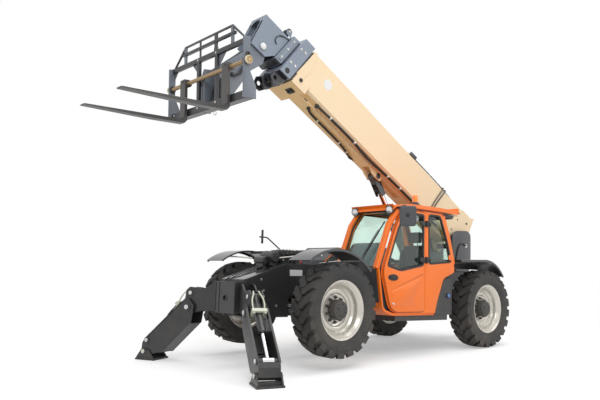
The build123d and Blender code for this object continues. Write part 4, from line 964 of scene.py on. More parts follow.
cushion("seat_cushion", [(1.400, 0.275), (1.880, 0.300), (1.925, 0.340), (1.900, 0.395), (1.400, 0.385)], 0.500,
        0.990, 0.035, replaces=("seat",))
cushion("seat_back", [(1.330, 0.400), (1.450, 0.385), (1.470, 0.500), (1.385, 0.950), (1.355, 1.010), (1.285, 1.000),
                      (1.270, 0.900)], 0.515, 0.975, 0.035)
cushion("seat_headrest", [(1.315, 1.040), (1.385, 1.050), (1.372, 1.200), (1.350, 1.225), (1.290, 1.210)],
        0.620, 0.870, 0.030)
for k, (y0, y1) in enumerate(((0.500, 0.575), (0.915, 0.990))):
    cushion(f"seat_bolster_{k}", [(1.395, 0.420), (1.490, 0.440), (1.505, 0.520), (1.425, 0.920), (1.370, 0.930),
                                  (1.385, 0.600)], y0, y1, 0.025)
for k, y in enumerate((0.455, 1.000)):
    cushion(f"seat_armrest_{k}", [(1.350, 0.600), (1.700, 0.600), (1.715, 0.640), (1.340, 0.645)],
            y, y + 0.055, 0.015)
bm = bmesh.new()
rod(bm, (1.345, 0.69, 0.980), (1.340, 0.69, 1.060), 0.008, 10)
rod(bm, (1.345, 0.80, 0.980), (1.340, 0.80, 1.060), 0.008, 10)
box(bm, (1.470, 1.830), (0.560, 0.930), (0.060, 0.280))
for k in range(5):
    box(bm, (1.455, 1.845), (0.545, 0.945), (0.085 + k * 0.038, 0.100 + k * 0.038))
box(bm, (1.440, 1.860), (0.535, 0.955), (-0.048, 0.060))
place("seat_base", bm, "chassis", "trim_grey", round_off=0.006)

bm = bmesh.new()
prism(bm, eased([(2.300, -0.040), (2.345, -0.040), (2.480, 0.010), (2.535, 0.050), (2.585, 0.300), (2.600, 0.560),
                 (2.540, 0.700), (2.420, 0.800), (2.340, 0.780), (2.400, 0.600), (2.380, 0.300)], 0.04), 0.370, 1.075)
prism(bm, eased([(2.595, 0.560), (2.562, 0.700), (2.484, 0.920), (2.440, 0.968), (2.370, 0.990), (2.300, 0.978),
                 (2.290, 0.945), (2.360, 0.860), (2.390, 0.600)], 0.04), 0.395, 0.960)
place("dash_body", bm, "chassis", "dash_grey", round_off=0.02, replaces=("console",))
bm = bmesh.new()
prism(bm, eased([(2.560, 0.690), (2.430, 0.900), (2.330, 0.935), (2.230, 0.900), (2.190, 0.830),
                 (2.320, 0.760)], 0.04), 0.560, 0.950)
place("instrument_pod", bm, "chassis", "dash_grey", round_off=0.025)
bm = bmesh.new()
prism(bm, eased([(2.255, 0.905), (2.215, 0.835), (2.209, 0.838), (2.250, 0.909)], 0.002), 0.600, 0.910)
place("instrument_screen", bm, "chassis", "gasket")
bm = bmesh.new()
pipe(bm, [(2.300, 0.745, -0.040), (2.180, 0.745, 0.480), (2.095, 0.745, 0.700)], 0.032, 16)
prism(bm, eased([(2.330, 0.300), (2.240, 0.640), (2.120, 0.640), (2.230, 0.300)], 0.03), 0.690, 0.800)
place("steering_column", bm, "chassis", "trim_grey", round_off=0.006)
bm = bmesh.new()
wheel_centre, wheel_axis = Vector((2.080, 0.745, 0.735)), Vector((-0.37, 0, 0.93)).normalized()
w_side = Vector((0, 1, 0))
w_other = wheel_axis.cross(w_side)
pipe(bm, [wheel_centre + (w_side * cos(2 * pi * k / 32) + w_other * sin(2 * pi * k / 32)) * 0.182 for k in range(32)],
     0.016, 10, True)
for a in (90, 210, 330):
    pipe(bm, [wheel_centre, wheel_centre + (w_side * cos(radians(a)) + w_other * sin(radians(a))) * 0.18], 0.012, 8)
rod(bm, wheel_centre - wheel_axis * 0.03, wheel_centre + wheel_axis * 0.022, 0.045, 24, 0.006)
place("steering_wheel", bm, "chassis", "gasket")
bm = bmesh.new()
prism(bm, eased([(1.420, 0.020), (2.050, 0.020), (2.150, 0.480), (2.060, 0.640), (1.440, 0.600)], 0.04), 0.365, 0.450)
place("side_console", bm, "chassis", "dash_grey", round_off=0.02)
bm = bmesh.new()
pipe(bm, [(1.980, 0.410, 0.610), (1.975, 0.412, 0.700), (1.960, 0.415, 0.770)], 0.014, 12)
turned(bm, [(0.0, -0.03), (0.022, -0.03), (0.030, 0.0), (0.026, 0.045), (0.012, 0.062), (0.0, 0.064)],
       (-0.1, 0, 1), (1.965, 0.415, 0.770), 18, closed=False)
turned(bm, [(0.0, -0.005), (0.045, -0.005), (0.028, 0.018), (0.016, 0.032), (0.0, 0.034)], (0, 0, 1),
       (1.980, 0.410, 0.612), 18, closed=False)
place("joystick", bm, "chassis", "gasket", angle=50)

# left mirror: housing, face and arms
mirror_at = MACHINE @ shift(2.500, 1.550, 1.345) @ Matrix.Rotation(radians(41), 4, "Z")
plate("mirror_housing", [eased([(-0.118, -0.145), (0.118, -0.145), (0.122, 0.150), (-0.122, 0.150)], 0.045)], -0.022,
      0.022, "chassis", "trim_grey", "trim_plastic", at=mirror_at, soft=0.014, replaces=("mirrors",), axis="X")
plate("mirror_glass", [eased([(-0.104, -0.130), (0.104, -0.130), (0.108, 0.136), (-0.108, 0.136)], 0.04)], -0.0255,
      -0.0215, "chassis", "mirror_face", "trim_plastic", at=mirror_at, soft=0.001, axis="X")
bm = bmesh.new()
pipe(bm, [(2.290, CAB_OUT + 0.012, 1.518), (2.440, 1.440, 1.515), (2.490, 1.535, 1.480), (2.512, 1.560, 1.360)],
     0.011, 10)
pipe(bm, [(2.240, CAB_OUT + 0.012, 1.505), (2.425, 1.440, 1.498)], 0.008, 8)
turned(bm, [(0.0, -0.02), (0.024, -0.02), (0.028, 0.004), (0.020, 0.016), (0.0, 0.018)], (0.755, 0.656, 0),
       (2.516, 1.564, 1.360), 16, closed=False)
box(bm, (2.225, 2.310), (CAB_OUT + 0.004, CAB_OUT + 0.016), (1.492, 1.530))
place("mirror_arm", bm, "chassis", "gasket", round_off=0.002)
# forward mirror on the frame's right side
bm = bmesh.new()
pipe(bm, [(3.035, -0.292, 0.600), (3.040, -0.310, 0.655), (3.395, -0.540, 1.020), (3.420, -0.550, 1.036),
          (3.505, -0.550, 1.036), (3.560, -0.550, 1.036)], 0.011, 10)
rod(bm, (3.035, -0.286, 0.612), (3.035, -0.300, 0.612), 0.030, 16)
place("front_mirror_stalk", bm, "chassis", "gasket")
plate("front_mirror", [eased([(-0.075, -0.106), (0.075, -0.106), (0.075, 0.106), (-0.075, 0.106)], 0.03)], -0.017,
      0.017, "chassis", "gasket", "trim_plastic",
      at=MACHINE @ shift(3.505, -0.550, 1.043) @ Matrix.Rotation(radians(52.7), 4, "Z"), soft=0.006)

# ---------------------------------------------------------------- boom


def clip(bm, at, along, radius=0.027, length=0.034):
    """Pipe clamp around a hose."""
    at, along = Vector(at), Vector(along).normalized() * length / 2
    rod(bm, at - along, at + along, radius, 14, 0.004)


def lean(h):
    return 0.19 * (0.35 - h)


# painted shade: faces that look down take boom_shade, a deeper, warmer copy of the boom's cream that stands for the
# shade and bounced light on its underside
boom_skin = bpy.data.objects["boom_base_body"].data
boom_skin.materials.append(M["boom_shade"])
boom_down = (BOOM.to_3x3() @ Vector((0, 0, -1))).normalized()
for face in boom_skin.polygons:
    if face.normal.dot(boom_down) > 0.8:
        face.material_index = 1

near_hose = [(4.150, 0.190, 0.015), (4.150, 0.195, -0.004), (3.997, 0.208, -0.006), (3.843, 0.220, -0.004),
             (3.529, 0.228, -0.004), (3.211, 0.222, -0.004), (2.926, 0.185, -0.005), (2.654, 0.178, -0.004),
             (2.260, 0.215, -0.004), (1.898, 0.222, -0.004), (1.558, 0.225, -0.004), (0.700, 0.225, -0.004)]
thin_hose = [(p[0], p[1] - 0.034, p[2] + 0.006) for p in near_hose[3:]]
far_hose = [(4.188, 0.050, -0.025), (4.180, 0.040, -0.050), (4.087, -0.004, -0.052), (3.887, -0.010, -0.052),
            (3.553, -0.010, -0.052), (3.214, -0.020, -0.056), (2.980, -0.085, -0.062), (2.912, -0.120, -0.052),
            (2.800, -0.126, -0.006)]
for name, run, size in (("near", near_hose, 0.0175), ("thin", thin_hose, 0.010), ("far", far_hose, 0.0175)):
    tube(f"boom_hose_{name}", run, size, "boom", "hose_rubber", at=BOOM)
bm = bmesh.new()
for s_at, y in ((3.843, 0.220), (3.211, 0.222), (2.260, 0.215), (1.898, 0.222)):
    clip(bm, (s_at, y, -0.004), (1, 0, 0))
for s_at, y in ((3.900, -0.009), (3.330, -0.014), (3.080, -0.055)):
    clip(bm, (s_at, y, -0.054), (1, -0.1, 0))
place("boom_hose_clips", bm, "boom", "zinc", at=BOOM)
bm = bmesh.new()
rod(bm, (4.155, 0.192, -0.030), (4.155, 0.192, 0.022), 0.030, 18, 0.004)
rod(bm, (4.190, 0.052, -0.070), (4.190, 0.052, -0.028), 0.027, 18, 0.004)
box(bm, (4.585, 4.690), (0.010, 0.150), (-0.083, -0.069))
for y in (0.040, 0.120):
    rod(bm, (4.640, y, -0.069), (4.640, y, -0.105), 0.021, 14, 0.004)
box(bm, (4.300, 4.372), (0.109, 0.1125), (-0.016, 0.002))
place("boom_port_fittings", bm, "boom", "gasket", at=BOOM, round_off=0.002)

# blank disc and doubler on the side, its lug, and the pin that holds the lift cylinder's eye
for side, s in SIDES:
    bm = bmesh.new()
    rod(bm, (4.180, s * 0.2490, 0.405), (4.180, s * 0.2525, 0.405), 0.088, 48)
    place(f"boom_side_disc_{side}", bm, "boom", "label_white", at=BOOM, angle=50)
    edge = [(4.628, 0.122), (4.585, 0.240), (4.560, 0.360), (4.565, 0.500), (4.590, 0.640), (4.600, 0.684),
            (4.650, 0.684), (4.780, 0.120)]
    plate(f"boom_nose_doubler_{side}", [edge], *sorted((s * 0.2495, s * 0.2550)), "boom", "boom_cream", "boom_paint",
          at=BOOM, soft=0.002)
    bm = bmesh.new()
    rod(bm, (4.668, s * 0.279, 0.062), (4.668, s * 0.289, 0.062), 0.034, 20, 0.002)
    rod(bm, (4.668, s * 0.288, 0.062), (4.668, s * 0.310, 0.062), 0.021, 6, 0.003)
    rod(bm, (2.375, s * 0.113, -0.060), (2.375, s * 0.124, -0.060), 0.050, 32, 0.003)
    rod(bm, (0.0, s * 0.258, 0.0), (0.0, s * 0.2640, 0.0), 0.080, 40, 0.002)
    for s_at, h in ((-0.027, 0.516), (0.329, 0.167), (0.245, 0.430), (2.351, -0.001)):
        y = 0.097 if s_at > 2 else 0.2615
        if s_at < 0.18:
            bolt(bm, (s_at, s * y, h), (0, s, 0), 0.013, 0.010)
        elif s_at > 2:
            bolt(bm, (s_at, s * y, h), (0, s, 0), 0.015, 0.010)
        else:
            bolt(bm, (s_at, s * 0.2495, h), (0, s, 0), 0.011, 0.008)
    place(f"boom_side_bolts_{side}", bm, "boom", "dark_steel", at=BOOM)

# pair of pipes over the boom's side, the cable along its top edge and the lamp at its end
for k, (top, foot) in enumerate(((0.834, 0.985), (0.907, 1.045))):
    tube(f"boom_side_pipe_{k}", [(top - 0.002, 0.120, 0.702), (top, 0.235, 0.706), (top + 0.004, 0.264, 0.690),
                                 (top + 0.012, 0.264, 0.660), (foot, 0.263, 0.210), (foot + 0.010, 0.262, 0.080)],
         0.0105, "boom", "trim_grey", at=BOOM)
tube("boom_lamp_cable", [(1.800, 0.205, 0.712), (1.680, 0.222, 0.699), (1.275, 0.226, 0.699), (0.930, 0.224, 0.699),
                         (0.500, 0.190, 0.699)], 0.009, "boom", "hose_rubber", at=BOOM)
bm = bmesh.new()
for s_at in (1.560, 1.330, 1.090):
    clip(bm, (s_at, 0.226, 0.699), (1, 0, 0), 0.013, 0.022)
place("boom_cable_clips", bm, "boom", "zinc", at=BOOM)
bm = bmesh.new()
prism(bm, eased([(1.800, 0.700), (1.975, 0.700), (1.985, 0.752), (1.800, 0.760)], 0.016), 0.130, 0.238)
box(bm, (1.850, 1.930), (0.165, 0.205), (0.686, 0.704))
place("boom_work_lamp", bm, "boom", "trim_grey", at=BOOM, round_off=0.006)
bm = bmesh.new()
box(bm, (1.979, 1.985), (0.142, 0.226), (0.708, 0.746))
place("boom_work_lamp_lens", bm, "boom", "lamp_glass", at=BOOM)

# ---------------------------------------------------------------- collars of the inner sections
for side, s in SIDES:
    bm = bmesh.new()
    for base, h in ((4.905, 0.487), (4.812, 0.495), (4.962, 0.173), (4.863, 0.176)):
        bolt(bm, (base, s * 0.2745, h), (0, s, 0), 0.014, 0.010)
    place(f"second_collar_bolts_{side}", bm, "second_section", "zinc", at=BOOM)
    bm = bmesh.new()
    rod(bm, (4.945, s * 0.2735, 0.012), (4.945, s * 0.2765, 0.012), 0.045, 32)
    place(f"second_collar_bore_{side}", bm, "second_section", "gasket", at=BOOM, angle=50)
    strip = [(5.045 + lean(0.095), 0.095), (5.118 + lean(0.095), 0.095), (5.118 + lean(0.575), 0.575),
             (5.045 + lean(0.575), 0.575)]
    plate(f"third_collar_pad_{side}", [strip], *sorted((s * 0.2215, s * 0.2330)), "third_section", "head_grey",
          "head_paint", at=BOOM, soft=0.003)
    bm = bmesh.new()
    for h in (0.150, 0.335, 0.520):
        bolt(bm, (5.081 + lean(h), s * 0.2325, h), (0, s, 0), 0.012, 0.009)
    place(f"third_collar_bolts_{side}", bm, "third_section", "zinc", at=BOOM)
# black wear-pad boxes under the collars
pad = [(4.852, -0.066), (5.052, -0.066), (5.058, -0.080), (4.858, -0.080)]
plate("second_collar_pad_box", [pad], -0.270, 0.270, "second_section", "guard_black", "frame_paint",
      at=BOOM, soft=0.003)
for name, y in (("left", 0.200), ("middle", 0.0), ("right", -0.200)):
    cheek = [(4.850, -0.078), (5.065, -0.078), (5.125, -0.130), (5.118, -0.215), (5.030, -0.292), (4.960, -0.285),
             (4.880, -0.180)]
    hole = [(5.035 + 0.036 * cos(2 * pi * k / 20), -0.190 + 0.036 * sin(2 * pi * k / 20)) for k in range(20)]
    plate(f"second_collar_hanger_{name}", [cheek, hole], y - 0.011, y + 0.011, "second_section", "guard_black",
          "frame_paint", at=BOOM, soft=0.003)
bm = bmesh.new()
rod(bm, (4.945, -0.212, -0.165), (4.945, 0.212, -0.165), 0.050, 24, 0.004)
for y in (-0.105, 0.105):
    rod(bm, (4.945, y - 0.045, -0.165), (4.945, y + 0.045, -0.165), 0.072, 28, 0.006)
box(bm, (4.865, 5.030), (-0.150, 0.150), (-0.100, -0.079))
place("extension_chain_sheaves", bm, "second_section", "dark_steel", at=BOOM, round_off=0.002)
pad = [(5.075, 0.066), (5.192, 0.066), (5.196, 0.048), (5.079, 0.048)]
plate("third_collar_pad_box", [pad], -0.216, 0.216, "third_section", "guard_black", "frame_paint",
      at=BOOM, soft=0.003)
# roller and hoses over the third section's collar
bm = bmesh.new()
for y in (0.030, 0.128):
    prism(bm, [(5.085, 0.606), (5.185, 0.606), (5.205, 0.672), (5.170, 0.700), (5.110, 0.690)], y, y + 0.010)
place("hose_roller_bracket", bm, "third_section", "head_grey", at=BOOM, round_off=0.002)
bm = bmesh.new()
turned(bm, [(0.018, 0.0), (0.056, 0.0), (0.056, 0.014), (0.044, 0.030), (0.044, 0.056), (0.056, 0.072),
            (0.056, 0.086), (0.018, 0.086)], (0, 1, 0), (5.152, 0.041, 0.672), 32)
place("hose_roller", bm, "third_section", "gasket", at=BOOM, angle=50)
bm = bmesh.new()
rod(bm, (5.152, 0.022, 0.672), (5.152, 0.150, 0.672), 0.016, 16, 0.002)
place("hose_roller_pin", bm, "third_section", "zinc", at=BOOM)
for k in (0, 1):
    tube(f"head_hose_{k}", [(5.080 - 0.02 * k, 0.186, 0.520), (5.193, 0.190, 0.492),
                            (5.269, 0.191, 0.453 + 0.012 * k), (5.323, 0.191, 0.400),
                            (5.331, 0.191, 0.334), (5.294, 0.190, 0.291 - 0.014 * k),
                            (5.262, 0.178, 0.286)], 0.0065, "fly_section", "hose_rubber", at=BOOM)

# ---------------------------------------------------------------- boom head
bm = bmesh.new()
for s in (1, -1):
    turned(bm, [(0.0, 0.190), (0.052, 0.190), (0.052, 0.202), (0.044, 0.210), (0.0, 0.213)], (0, s, 0),
           (5.440, 0, 0.070), 32, closed=False)
place("tilt_pin_caps", bm, "fly_section", "label_white", at=BOOM, angle=50)
bm = bmesh.new()
oval = []
for k in range(48):
    a = 2 * pi * k / 48
    half_straight = 0.107 if sin(a) > 1e-6 else -0.107 if sin(a) < -1e-6 else 0
    oval.append((0.103 * cos(a), 0.275 + 0.103 * sin(a) + half_straight))
top_nose, low_nose = (5.645, 0.540), (5.620, -0.030)
slope = (top_nose[0] - low_nose[0]) / (top_nose[1] - low_nose[1])


def nose_at(h):
    return low_nose[0] + (h - low_nose[1]) * slope


inner = [bm.verts.new((nose_at(z) + 0.0015, y, z)) for y, z in oval]
middle = [bm.verts.new((nose_at(z) + 0.004, y * 1.06, 0.275 + (z - 0.275) * 1.03)) for y, z in oval]
outer = [bm.verts.new((nose_at(z) + 0.0015, y * 1.18, 0.275 + (z - 0.275) * 1.09)) for y, z in oval]
for ring_a, ring_b in ((inner, middle), (middle, outer)):
    for k in range(48):
        bm.faces.new((ring_a[k], ring_a[(k + 1) % 48], ring_b[(k + 1) % 48], ring_b[k]))
place("head_opening_lip", bm, "fly_section", "head_grey", at=BOOM, angle=60)

# ---------------------------------------------------------------- outrigger legs and feet
LEG_PIVOT, LEG_FOOT, LEG_ROD_EYE, LEG_TOP_EYE = (-0.695, -0.055), (0.035, -0.738), (0.0, -0.573), (-0.720, 0.150)


def pin_cap(bm, at, y, s, radius, reach=0.010):
    """Domed end of a pin, from y outwards."""
    turned(bm, [(0.0, -0.004), (radius, -0.004), (radius, reach * 0.6), (radius * 0.8, reach), (0.0, reach * 1.25)],
           (0, s, 0), (at[0], s * y, at[1]), 24, closed=False)


def boss(bm, at, y, s, radius, height):
    turned(bm, [(0.0, -0.003), (radius, -0.003), (radius, height * 0.7), (radius - 0.006, height), (0.0, height)],
           (0, s, 0), (at[0], s * y, at[1]), 28, closed=False)


def on_leg(along, off):
    """Point along the leg from its pivot, off its centre line, in metres."""
    dx, dz = LEG_FOOT[0] - LEG_PIVOT[0], LEG_FOOT[1] - LEG_PIVOT[1]
    run = hypot(dx, dz)
    return (LEG_PIVOT[0] + (along * dx - off * dz) / run, LEG_PIVOT[1] + (along * dz + off * dx) / run)


for side, _ in SIDES:
    at = LEG[side]
    leg, foot, head = f"leg_{side}", f"foot_{side}", "chassis"
    bm, caps = bmesh.new(), bmesh.new()
    for s in (1, -1):
        boss(bm, LEG_PIVOT, 0.1375, s, 0.066, 0.012)
        boss(bm, LEG_ROD_EYE, 0.1375, s, 0.046, 0.012)
        pin_cap(caps, LEG_PIVOT, 0.157, s, 0.0315, 0.008)
        pin_cap(caps, LEG_ROD_EYE, 0.159, s, 0.0275, 0.008)
    place(f"leg_bosses_{side}", bm, leg, "frame_black", at=at, angle=50)
    place(f"leg_pin_caps_{side}", caps, leg, "label_white", at=at, angle=50)
    bm = bmesh.new()
    for s in (1, -1):
        # folded lip along each side plate's upper edge, and a rib inside
        lip = [on_leg(0.02, 0.112), on_leg(0.88, 0.132), on_leg(0.88, 0.139), on_leg(0.02, 0.119)]
        prism(bm, lip, *sorted((s * 0.124, s * 0.150)))
    end = [on_leg(0.905, 0.132), on_leg(0.968, 0.110), on_leg(1.046, 0.030), on_leg(1.042, -0.020)]
    for a, b in zip(end, end[1:]):
        prism(bm, [a, b, (b[0] - 0.008, b[1] - 0.004), (a[0] - 0.008, a[1] - 0.008)], -0.126, 0.126)
    for along, off in ((0.500, -0.196), (0.745, -0.150)):
        c = on_leg(along, off)
        rod(bm, (c[0], -0.126, c[1]), (c[0], 0.126, c[1]), 0.014, 12)
    place(f"leg_lips_{side}", bm, leg, "frame_black", at=at, round_off=0.002)
    bm = bmesh.new()
    rod(bm, (LEG_ROD_EYE[0], -0.128, LEG_ROD_EYE[1]), (LEG_ROD_EYE[0], -0.045, LEG_ROD_EYE[1]), 0.033, 20, 0.002)
    rod(bm, (LEG_ROD_EYE[0], 0.045, LEG_ROD_EYE[1]), (LEG_ROD_EYE[0], 0.128, LEG_ROD_EYE[1]), 0.033, 20, 0.002)
    place(f"leg_rod_sleeve_{side}", bm, leg, "trim_grey", at=at, angle=50)
    bm, caps = bmesh.new(), bmesh.new()
    for s in (1, -1):
        boss(bm, LEG_TOP_EYE, 0.0915, s, 0.048, 0.010)
        pin_cap(caps, LEG_TOP_EYE, 0.109, s, 0.0275, 0.007)
    place(f"head_bosses_{side}", bm, head, "frame_black", at=at, angle=50)
    place(f"head_pin_caps_{side}", caps, head, "label_white", at=at, angle=50)
    bm, caps = bmesh.new(), bmesh.new()
    for s in (1, -1):
        boss(bm, LEG_FOOT, 0.1605, s, 0.046, 0.008)
        pin_cap(caps, LEG_FOOT, 0.174, s, 0.0315, 0.007)
    rod(caps, (LEG_FOOT[0], -0.120, LEG_FOOT[1]), (LEG_FOOT[0], 0.120, LEG_FOOT[1]), 0.0325, 20, 0.003)
    # closing plates between the foot's ears
    for r in (0.105, -0.140):
        box(bm, (r - 0.005, r + 0.005), (-0.140, 0.140), (-0.850, -0.798 if r > 0 else -0.826))
    place(f"foot_bosses_{side}", bm, foot, "frame_black", at=at, angle=50)
    place(f"foot_pin_{side}", caps, foot, "zinc", at=at, angle=50)
    # cylinder: locking-valve block, its fittings, and the hoses and pipes on the barrel
    cyl = at @ shift(LEG_TOP_EYE[0], 0, LEG_TOP_EYE[1]) @ LEG_CYL
    barrel = f"leg_barrel_{side}"
    bm = bmesh.new()
    for low, high in ((-0.098, -0.049), (0.049, 0.098)):
        box(bm, (0.262, 0.312), (low, high), (-0.062, 0.080))
    for low, high in ((-0.062, -0.049), (0.049, 0.080)):
        box(bm, (0.262, 0.312), (-0.052, 0.052), (low, high))
    for y in (-0.072, 0.072):
        rod(bm, (0.244, y, 0.050), (0.330, y, 0.050), 0.016, 12, 0.002)
    place(f"leg_valve_block_{side}", bm, barrel, "valve_cream", at=cyl, round_off=0.006)
    for k, (y, lift) in enumerate(((-0.072, 0.050), (0.072, 0.050))):
        tube(f"leg_hose_{side}_{k}", [(0.250, y, lift), (0.190, y * 1.15, 0.075), (0.090, y * 0.95, 0.086),
                                      (0.020, y * 0.55, 0.090), (-0.030, y * 0.5, 0.070)], 0.0105, barrel,
             "valve_cream", at=cyl)
        tube(f"leg_pipe_{side}_{k}", [(0.325, y, lift), (0.400, y * 0.98, 0.056), (0.560, y * 0.85, 0.056),
                                      (0.600, y * 0.55, 0.040)], 0.009, barrel, "trim_grey", at=cyl)

# ---------------------------------------------------------------- front of the frame
plate("deck_skin", [[(2.960, 0.6185), (2.960, 0.6215), (3.672, 0.6215), (4.415, 0.3700), (4.415, 0.3665),
                     (3.670, 0.6185)]], -0.272, 0.272, "chassis", "deck_gloss", "frame_paint", soft=0.001)
plate("head_deck_skin", [[(4.430, 0.3300), (4.430, 0.3330), (4.535, 0.3330), (4.535, 0.3300)]], -0.238, 0.238,
      "chassis", "deck_gloss", "frame_paint", soft=0.001)
for side, s in SIDES:
    bm = bmesh.new()
    for x, z in ((4.134, 0.379), (4.086, 0.221), (3.850, 0.010), (3.300, 0.330), (3.000, 0.060), (1.900, 0.330),
                 (1.500, 0.060)):
        bolt(bm, (x, s * 0.2895, z), (0, s, 0), 0.013, 0.009)
    place(f"frame_bolts_{side}", bm, "chassis", "zinc")
    plate(f"frame_label_{side}", [eased([(3.380, 0.445), (3.620, 0.440), (3.621, 0.529), (3.380, 0.531)], 0.008)],
          *sorted((s * 0.2895, s * 0.2915)), "chassis", "label_white", "trim_plastic", soft=0.0)
bm = bmesh.new()
for y in (-0.238, -0.150, 0.226):
    box(bm, (4.538, 4.548), (y, y + 0.012), (-0.090, 0.322))
turned(bm, [(0.034, -0.004), (0.052, -0.004), (0.052, 0.006), (0.046, 0.009), (0.034, 0.009)], (1, 0, 0),
       (4.540, 0, 0.110), 28)
place("head_front_ribs", bm, "chassis", "frame_black", round_off=0.002)
bm = bmesh.new()
rod(bm, (3.410, 0.250, 0.610), (3.410, 0.250, 0.650), 0.026, 16, 0.004)
rod(bm, (3.410, 0.250, 0.640), (3.410, 0.250, 0.668), 0.040, 20, 0.008)
place("isolator_knob", bm, "chassis", "red_lens", angle=50)
# filter and tank lumps ahead of the valve sections
bm = bmesh.new()
turned(bm, [(0.0, -0.150), (0.070, -0.146), (0.082, -0.130), (0.084, 0.130), (0.072, 0.148), (0.0, 0.150)],
       (0, 1, 0), (3.765, -0.010, 0.708), 36, closed=False)
turned(bm, [(0.0, -0.120), (0.050, -0.117), (0.058, -0.108), (0.060, 0.100), (0.050, 0.112), (0.0, 0.115)],
       (0, 1, 0), (3.885, -0.060, 0.655), 32, closed=False)
box(bm, (3.700, 3.830), (-0.120, 0.100), (0.585, 0.700))
box(bm, (3.850, 3.920), (-0.140, 0.020), (0.545, 0.640))
rod(bm, (3.765, 0.050, 0.780), (3.765, 0.050, 0.806), 0.024, 16, 0.004)
rod(bm, (3.765, -0.080, 0.780), (3.765, -0.080, 0.800), 0.020, 6, 0.003)
place("deck_accumulators", bm, "chassis", "frame_black", round_off=0.008)
# valve sections on the deck, with their solenoids and hoses
bm = bmesh.new()
for k in range(5):
    x = 3.318 + 0.064 * k
    box(bm, (x, x + 0.056), (-0.128, 0.168), (0.660, 0.812))
    rod(bm, (x + 0.028, 0.168, 0.760), (x + 0.028, 0.232, 0.760), 0.024, 16, 0.004)
    rod(bm, (x + 0.028, -0.128, 0.760), (x + 0.028, -0.190, 0.760), 0.024, 16, 0.004)
box(bm, (3.285, 3.655), (-0.140, 0.180), (0.618, 0.668))
place("valve_sections", bm, "chassis", "frame_black", round_off=0.006)
bm = bmesh.new()
for k in range(5):
    x = 3.346 + 0.064 * k
    rod(bm, (x, 0.100, 0.812), (x, 0.100, 0.836), 0.015, 6, 0.002)
    rod(bm, (x, -0.040, 0.812), (x, -0.040, 0.836), 0.015, 6, 0.002)
for x in (3.300, 3.640):
    bolt(bm, (x, 0.150, 0.668), (0, 0, 1), 0.012, 0.010)
place("valve_fittings", bm, "chassis", "zinc")
for k in range(4):
    x = 3.378 + 0.064 * k
    tube(f"valve_hose_{k}", [(x, 0.172, 0.700), (x, 0.215, 0.702), (x + 0.02, 0.250, 0.690), (x + 0.05, 0.262, 0.655),
                             (x + 0.06, 0.262, 0.630), (x + 0.06, 0.240, 0.612)], 0.010, "chassis", "hose_rubber")
for k, y in enumerate((-0.060, 0.030)):
    tube(f"deck_pipe_{k}", [(3.650, y, 0.640), (3.740, y - 0.02, 0.640), (3.900, y - 0.05, 0.566),
                            (4.380, y - 0.11, 0.403), (4.440, y - 0.11, 0.350)], 0.008, "chassis", "trim_grey")

# ---------------------------------------------------------------- fork carriage
# painted shade: the carriage's rails, load guard bars, shaft bosses and coupler inside take near-black guard_black,
# darker than the carriage_grey cheeks, sides and posts
RAIL_LOW, RAIL_HIGH, GUARD_LOW, GUARD_HIGH = -1.060, -0.950, -0.322, -0.255
SHAFT = (0.850, -0.575)
STAND_INS = ("carriage",)


def on_carriage(name, bm, material, round_off=0.003, angle=35, replaces=STAND_INS):
    return place(name, bm, "carriage", material, at=CARRIAGE, round_off=round_off, angle=angle,
                 replaces=replaces)


def circle(centre, radius, count=28):
    return [(centre[0] + radius * cos(2 * pi * k / count), centre[1] + radius * sin(2 * pi * k / count))
            for k in range(count)]


LEVER_TIP = (0.150 * cos(radians(100) + BOOM_ANGLE + PITCH), 0.150 * sin(radians(100) + BOOM_ANGLE + PITCH))
coupler = [(-0.077, -0.060), (-0.072, -0.103), (-0.030, -0.248), (0.190, -0.394), (0.420, -0.700),
           (0.690, RAIL_LOW), (0.800, RAIL_LOW), (0.800, -0.430), (0.687, -0.419), (0.329, -0.148), (0.130, 0.010),
           (LEVER_TIP[0] + 0.045, LEVER_TIP[1] + 0.040), (LEVER_TIP[0] - 0.045, LEVER_TIP[1] + 0.010)]
for side, s in SIDES:
    low, high = sorted((s * 0.126, s * 0.150))
    plate(f"coupler_cheek_{side}", [coupler, circle((0, 0), 0.0385)], low, high, "carriage", "carriage_grey",
          "head_paint", at=CARRIAGE, soft=0.004, replaces=STAND_INS)
    low, high = sorted((s * 0.940, s * 0.960))
    outline = [(0.795, -0.244), (0.905, -0.268), (0.905, RAIL_LOW), (0.700, RAIL_LOW), (0.700, -0.900),
               (0.800, -0.697)]
    plate(f"carriage_side_{side}", [outline], low, high, "carriage", "carriage_grey", "head_paint", at=CARRIAGE,
          soft=0.004, replaces=STAND_INS)
    bm = bmesh.new()
    turned(bm, [(0.0305, s * 0.920), (0.052, s * 0.920), (0.052, s * 0.980), (0.0305, s * 0.980)], (0, 1, 0),
           (SHAFT[0], 0, SHAFT[1]), 36)
    on_carriage(f"shaft_boss_{side}", bm, "guard_black", 0.002)
    # shaft's end cap, its lock plate and the eye above it
    bm = bmesh.new()
    turned(bm, [(0.0, 0.978), (0.050, 0.978), (0.056, 0.986), (0.056, 1.006), (0.048, 1.018), (0.0, 1.0205)],
           (0, s, 0), (SHAFT[0], 0, SHAFT[1]), 40, closed=False)
    on_carriage(f"shaft_cap_{side}", bm, "cap_cream", 0.0, 50, replaces=())
    bm = bmesh.new()
    turned(bm, [(0.014, -0.008), (0.030, -0.008), (0.034, 0.0), (0.030, 0.008), (0.014, 0.008)], (0, 1, 0),
           (SHAFT[0] - 0.010, s * 0.970, SHAFT[1] + 0.088), 24)
    box(bm, (SHAFT[0] - 0.030, SHAFT[0] + 0.014), sorted((s * 0.958, s * 0.968)),
        (SHAFT[1] + 0.040, SHAFT[1] + 0.075))
    on_carriage(f"shaft_lock_{side}", bm, "dark_steel", 0.002, replaces=())
bm = bmesh.new()
box(bm, (0.720, 0.850), (-0.940, 0.940), (RAIL_LOW, RAIL_HIGH))
box(bm, (0.800, 0.850), (-0.940, 0.940), (GUARD_LOW, GUARD_HIGH))
